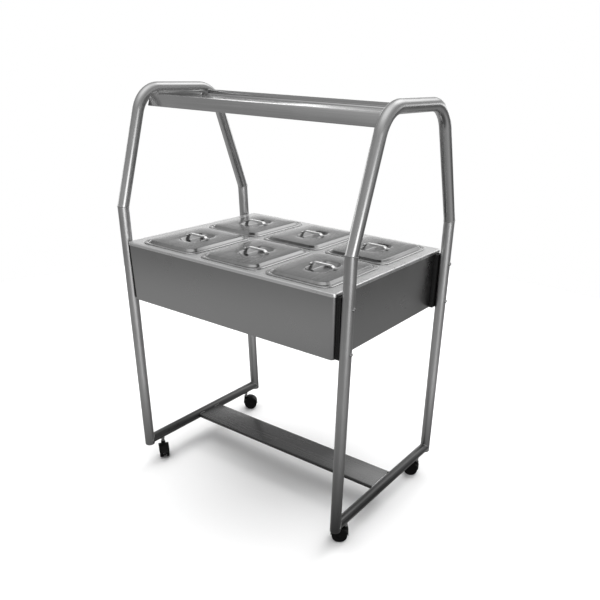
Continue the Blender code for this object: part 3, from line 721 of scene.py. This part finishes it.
def make_spacer(name, end_sign):
    """Ribbed rubber strip between the tank and a leg."""
    node = name + "_spacer"
    low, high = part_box(node)
    half_wide, deep, far = 0.0008, 0.0015, 1.0
    grooves = []
    width = high.y - low.y
    for index in (1, 2):
        y = low.y + width * index / 3
        for face_z in (low.z, high.z):
            grooves.append(solid("groove", block((low.x - far, y - half_wide, face_z - deep),
                                                 (high.x + far, y + half_wide, face_z + deep))))
    outer_y, shallow = (low if end_sign < 0 else high).y, 0.0012
    middle_x = (low.x + high.x) / 2
    grooves.append(solid("groove", block((middle_x - half_wide, outer_y - shallow, low.z - far),
                                         (middle_x + half_wide, outer_y + shallow, high.z + far))))
    add(node + "_strip", block(low, high), "rubber", nodes=[node], cut=grooves, bevel=0.0009,
        grain="z")


# -------- tank
def make_casing():
    """Wrapped sheet: outer wall, folded foot and inner wall, with softly rounded corners."""
    half_x, half_y = CASING_HIGH.x, CASING_HIGH.y
    low, high, radius = CASING_LOW.z, CASING_HIGH.z, 0.012
    soft = 0.0008
    rings = [(0, high), (0, low + soft), (soft * 0.3, low + soft * 0.3), (soft, low),
             (SHEET, low), (SHEET, high)]
    bm = bmesh.new()
    made = [[bm.verts.new(point) for point in
             rounded(half_x - inset, half_y - inset, radius - inset, z)] for inset, z in rings]
    skin(bm, made, close=True)
    knob, inlet, inlet_half = middle("control_knob"), middle("power_inlet"), (0.0133, 0.0098)
    inlet_low, inlet_high = ((inlet.x + sign * inlet_half[0], half_y + sign * 0.01,
                              inlet.z + sign * inlet_half[1]) for sign in (-1, 1))
    holes = [drill(0.005, (knob.x, half_y, knob.z), "y", 24),
             solid("inlet_hole", block(inlet_low, inlet_high))]
    add("casing_wrap", bm, "panel", nodes=["outer_casing"], cut=holes)
    seam_x, seam_y = (-0.400, -0.372), half_y + 0.0011
    strip = block((seam_x[0], half_y + 0.0002, low + 0.004), (seam_x[1], seam_y, high - 0.014))
    add("casing_seam", strip, "panel", grain="z", bevel=0.0004)
    for index in range(RIVETS):
        at = (sum(seam_x) / 2, seam_y, low + 0.02 + index * (high - low - 0.054) / (RIVETS - 1))
        rivet = mm((3.4, 0), (3.3, 0.5), (2.6, 1.3), (1.2, 1.8), (0.3, 1.9))
        add(f"casing_rivet_{index}", turned(rivet, at, "y", 20), "bolt")


def make_base():
    low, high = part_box("casing_base")
    holes = [drill(0.0125, (DRAIN_X, DRAIN_Y, low.z), "z", 32)]
    for index in range(VENTS):
        at = (VENT_AT[0] + index * VENT_STEP, VENT_AT[1])
        holes.append(solid("vent", loft([rounded(0.0035, 0.045, 0.0034, z, at, 5)
                                         for z in (low.z - 0.01, high.z + 0.01)])))
    rings = [rounded(high.x, high.y, 0.0095, z) for z in (low.z, high.z)]
    add("casing_base_plate", loft(rings), "panel", nodes=["casing_base"], cut=holes, bevel=0.0003)


def make_top_plate():
    """Rim with a rolled edge and six openings."""
    high = PLATE_HIGH
    drop = PLATE_HIGH.z - PLATE_LOW.z
    radius = 0.0146
    line = fillet([(0.0, -drop), (0.0, 0.0), (0.008, 0.0)], 0.0034, 7)
    rings = [(high.x - inset, high.y - inset, max(radius - inset, 0.001), z)
             for inset, z in line + offset(line, -SHEET)[::-1]]
    bm = place_rings(rings, (0, 0), high.z)
    holes = []
    for name in PAN_NAMES:
        at = middle(name + "_pan")
        holes.append(solid("opening", loft([
            rounded(PAN_HALF[0] - 0.010, PAN_HALF[1] - 0.010, 0.032, z, (at.x, at.y))
            for z in (high.z - 0.02, high.z + 0.02)])))
    add("rim_plate", bm, "rim", nodes=["top_plate"], cut=holes)


def make_well():
    half_x, half_y = WELL_HIGH.x, WELL_HIGH.y
    depth = WELL_HIGH.z - WELL_LOW.z
    line = fillet([(0.0, 0.0), (0.0, -depth), (0.06, -depth)], 0.014, 8)
    rings = [(half_x - u, half_y - u, max(0.025 - u, 0.004), z) for u, z in line]
    bm = place_rings(pressed(rings, -SHEET), (0, 0), WELL_HIGH.z)
    add("water_basin", bm, "well", nodes=["water_well"],
        cut=[drill(0.0108, (DRAIN_X, DRAIN_Y, WELL_LOW.z), "z", 32)])
    ring = mm((11.2, 0.2), (16.5, 0.2), (16.5, 0.8), (15, 1.6), (11.6, 1.6))
    add("drain_collar", turned(ring, (DRAIN_X, DRAIN_Y, WELL_LOW.z + SHEET), "z", 36), "bolt")


# -------- pans and lids
def make_pan(name):
    node = name + "_pan"
    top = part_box(node)[1].z
    at = middle(node)
    hx, hy = PAN_HALF
    wall, taper = 0.013, 0.007
    line = fillet([(0.0, -0.0012), (0.0014, 0.0), (wall, 0.0), (wall + 0.0006, -0.030),
                   (wall + 0.0016, -0.033), (wall + taper, -PAN_DEPTH), (wall + taper + 0.05,
                                                                        -PAN_DEPTH)], 0.014, 6)
    line = [point if point.x > wall - 0.006 else point for point in line]
    rings = [(hx - u, hy - u, max(0.036 - u * 0.3, 0.012), z) for u, z in line]
    bm = place_rings(pressed(rings, -PAN_SHEET), (at.x, at.y), top)
    add(name + "_pan_shell", bm, "pan", name + "_pan_body", [node], grain="y", sharp=45)


def make_lid(name):
    node = name + "_lid"
    at = middle(node)
    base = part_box(name + "_pan")[1].z + 0.0003
    hx, hy = PAN_HALF
    edge, slope = 0.0145, 0.0075
    outer = fillet([(0.0, -0.0001), (0.0007, 0.0), (edge, 0.0), (edge + slope, LID_RISE),
                    (0.055, LID_RISE + 0.0006)], 0.0035, 6)
    dish_x, dish_y, dish_r = DISH
    inner = fillet([(-0.018, LID_RISE + 0.0008), (0.0, LID_RISE + 0.0004),
                    (0.0105, LID_RISE - DISH_DEPTH), (0.028, LID_RISE - DISH_DEPTH - 0.0002)],
                   0.0045, 6)
    rings = [(hx - u, hy - u, max(0.036 - 0.3 * u, 0.010), z) for u, z in outer]
    rings += [(dish_x - u, dish_y - u, max(dish_r - u, 0.004), z) for u, z in inner]
    bm = place_rings(pressed(rings, LID_SHEET), (at.x, at.y), base)
    add(name + "_lid_cover", bm, "lid", name + "_lid_body", [node], grain="y", sharp=45)


def make_lid_handle(name):
    """Bent strap over the finger dish, with its spot welds."""
    node = name + "_lid_handle"
    low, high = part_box(node)
    at = middle(node)
    foot_z, top_z = low.z + 0.0002, high.z - STRAP_THICK
    half = [(0.054, foot_z), (0.0435, foot_z), (0.036, top_z)]
    line = [(-u, z) for u, z in half] + half[::-1]
    bm = folded(line, STRAP_THICK, low.y, high.y, 0.004, "y", 6, at.x)
    add(name + "_lid_strap", bm, "handle", name + "_lid_body", [node], bevel=0.0008)
    for sx in (-1, 1):
        for sy in (-1, 1):
            spot = (at.x + sx * 0.0488, at.y + sy * 0.0045, foot_z + 0.0024)
            dimple = mm((1.9, 0), (1.7, 0.3), (0.9, 0.5), (0.2, 0.55))
            label = f"{name}_spot_{'l' if sx < 0 else 'r'}{'f' if sy < 0 else 'b'}"
            add(label, turned(dimple, spot, "z", 16), "handle", name + "_lid_body")


# -------- shelf and channel
def make_shelf():
    """Folded shelf: hemmed front face, pressed deck, rear upstand and two end flanges."""
    top = SHELF_HIGH.z - SHELF_UPSTAND
    bottom = SHELF_LOW.z
    spread = SHELF_SLOPE * (top - bottom)
    front, rear = SHELF_LOW.y + spread, SHELF_HIGH.y - SHELF_SHEET
    border, step, press, lip = 0.030, 0.004, 0.004, 0.010
    line = [(front - spread + lip, bottom), (front - spread, bottom), (front, top),
            (front + border, top), (front + border + step, top - press),
            (rear - border - step, top - press), (rear - border, top),
            (rear, top), (rear, SHELF_HIGH.z)]
    bm = folded(line, -SHELF_SHEET, SHELF_LOW.x + 0.0005, SHELF_HIGH.x - 0.0005, 0.0022)
    add("overshelf_sheet", bm, "shelf", nodes=["overshelf"], bevel=0.0003)
    low_y, high_y = front + border + 2 * step, rear - border - 2 * step
    for side, sign in SIDES.items():
        near, far = sorted((sign * (SHELF_HIGH.x - 0.0019), sign * (SHELF_HIGH.x - 0.0001)))
        flange = block((near, low_y, top - press - 0.001), (far, high_y, top + 0.010))
        add(side + "_shelf_flange", flange, "shelf", grain="y", bevel=0.0006)
        for end, y in (("front", low_y + 0.03), ("rear", high_y - 0.03)):
            spots = ellipse((sign * (SHELF_HIGH.x - 0.0004), y, top + 0.0085),
                            (0, 0.012, 0), (0, 0, 0.0012), 16)
            bead(f"{side}_{end}_shelf_weld", spots, 0.0009)


def make_channel():
    half_y = CHANNEL_HIGH.y
    top, bottom = CHANNEL_HIGH.z, CHANNEL_LOW.z
    line = [(-half_y, bottom), (-half_y, top), (half_y, top), (half_y, bottom)]
    bm = folded(line, -SHEET, CHANNEL_LOW.x, CHANNEL_HIGH.x, 0.0032)
    add("stretcher_sheet", bm, "channel", nodes=["stretcher_channel"], bevel=0.0003)
    for side, sign in SIDES.items():
        for end, end_sign in ENDS.items():
            centre = (sign * (CHANNEL_HIGH.x - 0.0012), end_sign * (half_y - 0.020), top + 0.0004)
            spots = ellipse(centre, (sign * 0.0006, 0.014, 0), (0, 0, 0.0012), 20)
            bead(f"{side}_{end}_channel_weld", spots, 0.0009)


# -------- casters
AXLE_H = 0.030
TRAIL = 0.022
HOOD_R = 0.0345
HOOD_T = 0.0025
WHEEL_INNER = 0.0048
WHEEL_OUTER = 0.0213


def caster_frame(name):
    """Matrix of a caster's own frame: +X the way it trails, Z on its stem."""
    stem = Vector(JOINTS[name + "_swivel"]["pos_m"])
    axle = Vector(JOINTS[name + "_wheel_spin"]["pos_m"])
    angle = math.atan2(axle.y - stem.y, axle.x - stem.x)
    return Matrix.Translation((stem.x, stem.y, 0)) @ Matrix.Rotation(angle, 4, "Z")


def side_prism(outline, low, high):
    return loft([[(u, y, z) for u, z in outline] for y in (low, high)])


def put(bm, matrix):
    bmesh.ops.transform(bm, matrix=matrix, verts=bm.verts)
    return bm


def make_caster_housing(name):
    matrix = caster_frame(name)
    body = name + "_caster"
    node = name + "_caster_housing"
    axle = (TRAIL, AXLE_H)
    outline = arc(HOOD_R, 8, 172, 36, axle) + arc(HOOD_R - HOOD_T, 172, 8, 36, axle)
    bm = put(side_prism(outline, -WHEEL_OUTER, WHEEL_OUTER), matrix)
    add(name + "_hood", bm, "hood", body, [node], bevel=0.0009)
    web = arc(HOOD_R - HOOD_T - 0.0001, -20, 200, 40, axle)
    add(name + "_web", put(side_prism(web, -0.004, 0.004), matrix), "hood", body, bevel=0.0006)
    boss = mm((5.8, 51.6), (9.2, 51.6), (9.5, 53), (9.5, 65.5), (8.8, 67.6), (7.4, 68), (5.8, 68),
              (5.6, 60))
    add(name + "_boss", put(turned(boss[::-1]), matrix), "hood", body, sharp=35)
    for side, sign in (("a", -1), ("b", 1)):
        brow = arc(HOOD_R + 0.0003, 25, 155, 30, axle) + arc(HOOD_R - 0.0052, 155, 25, 30, axle)
        low, high = sorted((sign * WHEEL_OUTER, sign * (WHEEL_OUTER + 0.0007)))
        add(f"{name}_brow_{side}", put(side_prism(brow, low, high), matrix), "hood", body,
            bevel=0.0003)


def make_caster_wheels(name):
    """Two moulded wheels on one axle: tread, rim step, dished hub and a centre cap."""
    matrix = caster_frame(name)
    body = name + "_wheels"
    node = name + "_caster_wheels"
    for side, sign in (("a", -1), ("b", 1)):
        turn = Matrix.Rotation(-sign * math.pi / 2, 4, "X")
        local = matrix @ Matrix.Translation((TRAIL, 0, AXLE_H)) @ turn
        inner, outer = WHEEL_INNER, WHEEL_OUTER
        tread = mm((24.5, 0.4), (29, 0.2), (29.8, 1.2), (30, 3.5), lift=inner)
        tread += mm((30, -4), (29.5, -1.6), (28.4, -0.6), (26.2, -0.4), (24.5, -0.8), lift=outer)
        add(f"{name}_tread_{side}", put(turned(tread, sides=56), local), "tread", body,
            [node] if sign < 0 else [])
        hub = mm((4.4, 0.3), (24.3, 0.3), lift=inner)
        hub += mm((24.3, -1.2), (22.8, -1.3), (22.2, -4), (12, -5), (9.4, -4.6), (8.8, -1.4),
                  (8, -0.8), (4.6, -0.8), lift=outer)
        add(f"{name}_hub_{side}", put(turned(hub, sides=56), local), "hub", body,
            sharp=40)
        for spoke in range(5):
            spin = Matrix.Rotation(2 * math.pi * spoke / 5, 4, "Z")
            rib = block((0.0100, -0.0011, outer - 0.0050), (0.0224, 0.0011, outer - 0.0022))
            add(f"{name}_rib_{side}{spoke}", put(rib, local @ spin), "hub", body, bevel=0.0005)
        cap = mm((4.2, -5.2))
        cap += mm((4.2, -0.6), (3.6, -0.1), (2, 0.2), (0.4, 0.3), lift=outer)
        add(f"{name}_axle_cap_{side}", put(turned(cap, sides=28), local), "hub", body)


def make_caster_stem(name):
    node = name + "_caster_stem"
    at = middle(node)
    collar = mm((5, 68.6), (8, 68.6), (8.5, 69.2), (8.5, 70.5), (8, 71.1), (5, 71.1))
    add(name + "_stem_collar", turned(collar, (at.x, at.y, 0), "z", 36), "bolt")
    pin = mm((0.2, 60.2), (4.4, 60.2), (4.9, 60.8), (4.9, 76), (4.9, 102), (4, 102.8), (0.2, 102.8))
    add(name + "_stem_pin", turned(pin, (at.x, at.y, 0), "z", 32), "bolt", nodes=[node])
    nut = mm((5, 77), (7.6, 77), (8.5, 77.7), (8.5, 83.3), (7.6, 84), (5, 84))
    add(name + "_stem_nut", turned(nut, (at.x, at.y, 0), "z", 6), "bolt", sharp=20, bevel=0.0002)
    washer = mm((5.1, -3.8), (8.4, -3.8), (8.5, -3), (8.5, -2.2), (5.1, -2.2),
                lift=RAIL_Z - TUBE_R)
    add(name + "_stem_washer", turned(washer, (at.x, at.y, 0), "z", 36), "bolt")


# -------- controls and drain
def make_knob():
    at = (middle("control_knob").x, CASING_HIGH.y, middle("control_knob").z)
    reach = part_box("control_knob")[1].y - CASING_HIGH.y
    skirt = mm((4, -7), (4, 1.2), (19.5, 1.2), (19.9, 2.2), (19.6, 5.2), (17.6, 6.4), (17, 7.6),
               (4, 7.6))
    grip = mm((4, 7), (17, 7.4))
    grip += mm((16.8, -3), (16, -1.2), (14.2, -0.3), (10, -0.6), (0.2, -0.8), lift=reach)
    add("knob_skirt", turned(skirt, at, "y", 60), "black", "knob",
        ["control_knob"])
    add("knob_grip", turned(grip, at, "y", 96, 16, 0.055), "black", "knob",
        sharp=50)
    mark = block((at[0] - 0.0009, at[1] + reach - 0.0009, at[2] + 0.0040),
                 (at[0] + 0.0009, at[1] + reach - 0.0001, at[2] + 0.0148))
    add("knob_pointer", mark, "mark", "knob", bevel=0.0002)
    plate = mm((20.8, 0.3), (30, 0.3), (30, 0.9), (29.6, 1.1), (21, 1.1), (20.8, 0.9))
    add("dial_plate", turned(plate, at, "y", 72), "handle")
    for index in range(11):
        angle = math.radians(225 - 27 * index)
        length = 0.0048 if index % 5 == 0 else 0.0030
        tick = block((0.0268 - length / 2, 0.0011, -0.0004), (0.0268 + length / 2, 0.0014, 0.0004))
        spin = Matrix.Translation(at) @ Matrix.Rotation(-angle, 4, "Y")
        add(f"dial_tick_{index}", put(tick, spin), "black", bevel=0.0001)


def make_inlet():
    low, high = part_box("power_inlet")
    at = middle("power_inlet")
    y0, y1 = CASING_HIGH.y + 0.0003, high.y
    wide, tall = (high.x - low.x) / 2, (high.z - low.z) / 2
    rings = []
    for inset, y in ((0.0, y0), (0.0, y1 - 0.0008), (0.0008, y1)):
        ring = rounded(wide - inset, tall - inset, 0.004 - inset, 0.0)
        rings.append([(at.x + u, y, at.z + v) for u, v, _ in ring])
    body = block((at.x - 0.013, low.y, at.z - 0.0095), (at.x + 0.013, y0 + 0.0004, at.z + 0.0095))
    for label, bm, nodes in (("flange", loft(rings), ["power_inlet"]), ("shell", body, [])):
        recess = solid("recess", block((at.x - 0.011, low.y + 0.0048, at.z - 0.0075),
                                       (at.x + 0.011, y1 + 0.01, at.z + 0.0075)))
        add("inlet_" + label, bm, "black", nodes=nodes, cut=[recess], bevel=0.0003)
    for index, (dx, dz) in enumerate(((-0.0065, -0.002), (0.0, 0.002), (0.0065, -0.002))):
        pin = block((at.x + dx - 0.0009, low.y + 0.0040, at.z + dz - 0.0019),
                    (at.x + dx + 0.0009, y1 - 0.0030, at.z + dz + 0.0019))
        add(f"inlet_pin_{index}", pin, "brass", bevel=0.0004)
    for side, sign in SIDES.items():
        screw = mm((3, 0), (2.9, 0.5), (2.2, 1), (0.8, 1.2), (0.3, 0.8))
        spot = (at.x + sign * (wide - 0.006), y1 - 0.0001, at.z)
        add(f"inlet_screw_{side}", turned(screw, spot, "y", 20), "bolt")


def make_drain():
    low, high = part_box("drain_valve")
    x, y0, z = DRAIN_X, DRAIN_Y, low.z + 0.0155
    pipe = [(0.0002, z), (0.0101, z), (0.0101, high.z - 0.0006), (0.0095, high.z),
            (0.0078, high.z), (0.0076, z + 0.02), (0.0002, z + 0.02)]
    add("drain_pipe", turned(pipe, (x, y0, 0), "z", 40), "brass", nodes=["drain_valve"])
    body = mm((0.2, -14), (13.5, -14), (15, -12.8), (15, -4), (12.6, -2.8), (11.8, 2), (12.6, 8),
              (14, 13), (14, 20), (12.8, 26), (12.4, 29), (15, 30), (15, 37.2), (13.6, 38.2),
              (11.4, 38.2))
    for step in range(11):
        body.append((0.0114 if step % 2 == 0 else 0.0106, 0.040 + step * 0.0026))
    body += [(0.0104, high.y - y0), (0.0080, high.y - y0), (0.0078, 0.045), (0.0002, 0.045)]
    add("drain_body", turned(body, (x, y0, z), "y", 36), "brass", sharp=25)
    nut = mm((5, 0), (9.6, 0), (10.8, 0.8), (10.8, 6.2), (9.6, 7), (5, 7))
    add("drain_hex", turned(nut, (x, y0, z + 0.0215), "z", 6), "brass", sharp=20, bevel=0.0004)


def make_drain_lever():
    """Flat lever with a rounded end in a black sleeve, on the valve's spindle."""
    low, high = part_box("drain_lever")
    pivot = Vector(JOINTS["drain_turn"]["pos_m"])
    reach = high.x - 0.007 - pivot.x
    spindle = mm((0.2, 0.8), (3, 0.2), (4.8, 0.8), lift=low.z)
    spindle += mm((4.8, 0), (0.2, 0), lift=high.z)
    add("lever_spindle", turned(spindle, (pivot.x, pivot.y, 0), "z", 24), "bolt", "drain_handle")
    rings = []
    for z in (low.z + 0.0012, low.z + 0.0032):
        ring = rounded(reach / 2 + 0.0065, 0.0064, 0.0062, z, (pivot.x + reach / 2, pivot.y), 8)
        rings.append(ring)
    add("lever_arm", loft(rings), "bolt", "drain_handle", ["drain_lever"], bevel=0.0005)
    sleeve = []
    for z, inset in ((low.z + 0.0004, 0.0012), (low.z + 0.0010, 0.0002), (low.z + 0.0034, 0.0002),
                     (low.z + 0.0042, 0.0012)):
        sleeve.append(rounded(0.024 - inset, 0.0070 - inset, 0.0066 - inset, z,
                              (high.x - 0.0242, pivot.y), 8))
    add("lever_sleeve", loft(sleeve), "rubber", "drain_handle")


def repaint_hidden():
    """Inner parts keep their CAD shapes with better materials."""
    for node, look in (("insulation_wrap", "wool"), ("heating_element", "hidden"),
                       ("thermostat", "black")):
        obj = frame["nodes"][node]
        obj.data.materials.clear()
        obj.data.materials.append(LOOKS[look][1])
        for polygon in obj.data.polygons:
            polygon.material_index = 0


# -------- studio
# Brightness of the room against the sine of the height above the horizon.
WALL_TONES = ((-1.0, 0.10), (-0.88, 0.12), (-0.64, 0.50), (-0.46, 0.52), (-0.36, 0.42),
              (-0.27, 0.27), (-0.10, 0.25), (0.03, 0.40), (0.20, 0.50), (0.40, 0.42), (0.55, 0.44),
              (0.80, 0.70), (1.0, 1.35))
# A light's direction, the cosines between which it fades in, and its brightness.
WINDOW_TOWARDS = (0.86, -0.50, -0.02)
WINDOW_SPAN = (0.90, 0.985)
WINDOW_SILL = (-0.25, -0.13)
WINDOW_GLOW = 2.8
BACK_TOWARDS = (-0.6, 0.8, 0.0)
BACK_SPAN = (0.2, 0.6)
BACK_FOOT = (-0.03, 0.02)
BACK_TOP = (-0.20, -0.07)
BACK_GLOW = 1.9
HIGH_TOWARDS = (0.04, 0.75, 0.66)
HIGH_SPAN = (0.91, 0.985)
HIGH_GLOW = 1.4
DIM_TOWARDS = (0.46, 0.83, -0.32)
DIM_SPAN = (0.78, 0.96)
DIM_LOSS = 0.42
FLOOR_RADIUS = 3.4
SUN_TOWARDS = (-0.06, 0.20, 1.0)
SUN_STRENGTH = 2.45
SUN_SPREAD = 72

CAMERA_AT = (1.487, -1.845, 1.573)
CAMERA_ANGLES = (33.48, 30.79, 2.22)
CAMERA_LENS = 37.44
CAMERA_SHIFT = (-0.064, 0.222)


def make_studio():
    bm = bmesh.new()
    bmesh.ops.create_circle(bm, cap_ends=True, segments=96, radius=FLOOR_RADIUS)
    mesh = bpy.data.meshes.new("studio_floor")
    bm.to_mesh(mesh)
    bm.free()
    mesh.materials.append(floor_paint())
    floor = place("studio_floor", mesh)
    floor.visible_glossy = False

    make_world()
    data = bpy.data.lights.new("key_sun", "SUN")
    data.energy = SUN_STRENGTH
    data.angle = math.radians(SUN_SPREAD)
    lamp = place("key_sun", data)
    lamp.rotation_euler = Vector(SUN_TOWARDS).to_track_quat("Z", "Y").to_euler()
    lamp.visible_glossy = False


def make_world():
    """White backdrop round a soft studio: dim walls, a bright ceiling and windows."""
    world = bpy.data.worlds.new("studio")
    bpy.context.scene.world = world
    graph = Graph(world)
    graph.tree.nodes.clear()
    coord = graph.node("TexCoord").outputs["Generated"]

    def towards(direction, span):
        """From 0 to 1 as a ray nears a direction."""
        dot = graph.node("VectorMath", {0: coord, 1: Vector(direction).normalized()},
                         operation="DOT_PRODUCT")
        return graph.spread(dot.outputs["Value"], 0.0, 1.0, *span, "SMOOTHSTEP")

    height = graph.node("SeparateXYZ", {0: coord}).outputs["Z"]
    ramp = graph.node("ValToRGB", {"Fac": graph.spread(height, 0.0, 1.0, -1.0, 1.0)})
    elements = ramp.color_ramp.elements
    while len(elements) < len(WALL_TONES):
        elements.new(0.5)
    for element, (level, value) in zip(elements, WALL_TONES):
        element.position = (level + 1) / 2
        element.color = (value, value, value, 1.0)
    dim = graph.product(towards(DIM_TOWARDS, DIM_SPAN), DIM_LOSS)
    total = graph.product(ramp.outputs["Color"], graph.math("SUBTRACT", 1.0, dim))
    up, down = (0, 0, 1), (0, 0, -1)
    for light in (
            graph.product(towards(WINDOW_TOWARDS, WINDOW_SPAN), towards(up, WINDOW_SILL),
                          WINDOW_GLOW),
            graph.product(towards(HIGH_TOWARDS, HIGH_SPAN), HIGH_GLOW),
            graph.product(towards(up, BACK_FOOT), towards(down, BACK_TOP),
                          towards(BACK_TOWARDS, BACK_SPAN), BACK_GLOW)):
        total = graph.add(total, light)
    room = graph.node("Background", {"Color": total})
    backdrop = graph.node("Background", {"Color": (1.0, 1.0, 1.0, 1.0)})
    mix = graph.node("MixShader", {0: graph.node("LightPath").outputs["Is Camera Ray"],
                                   1: room.outputs[0], 2: backdrop.outputs[0]})
    graph.node("OutputWorld", {"Surface": mix.outputs[0]})


def make_camera():
    azimuth, elevation, roll = (math.radians(angle) for angle in CAMERA_ANGLES)
    back = Vector((math.sin(azimuth) * math.cos(elevation),
                   -math.cos(azimuth) * math.cos(elevation), math.sin(elevation)))
    right = (-back).cross(Vector((0, 0, 1))).normalized()
    up = right.cross(-back)
    across = right * math.cos(roll) + up * math.sin(roll)
    upward = up * math.cos(roll) - right * math.sin(roll)
    data = bpy.data.cameras.new("photo_view")
    data.sensor_width = 36.0
    data.lens = CAMERA_LENS
    data.shift_x, data.shift_y = CAMERA_SHIFT
    camera = place("photo_view", data)
    camera.matrix_world = Matrix.Translation(CAMERA_AT) @ Matrix(
        (across, upward, back)).transposed().to_4x4()
    bpy.context.scene.camera = camera
    bpy.context.scene.view_settings.view_transform = "Standard"


# -------- assembly
def build():
    for side, sign in SIDES.items():
        make_hoop(side, sign)
        make_rail(side, sign)
        for end, end_sign in ENDS.items():
            name = f"{side}_{end}"
            make_leg(name, sign, end_sign)
            make_spacer(name, end_sign)
            make_bolts(name, sign, end_sign)
            make_caster_stem(name)
            make_caster_housing(name)
            make_caster_wheels(name)
    make_casing()
    make_base()
    make_top_plate()
    make_well()
    for name in PAN_NAMES:
        make_pan(name)
        make_lid(name)
        make_lid_handle(name)
    make_shelf()
    make_channel()
    make_knob()
    make_inlet()
    make_drain()
    make_drain_lever()
    repaint_hidden()
    make_studio()
    make_camera()


build()
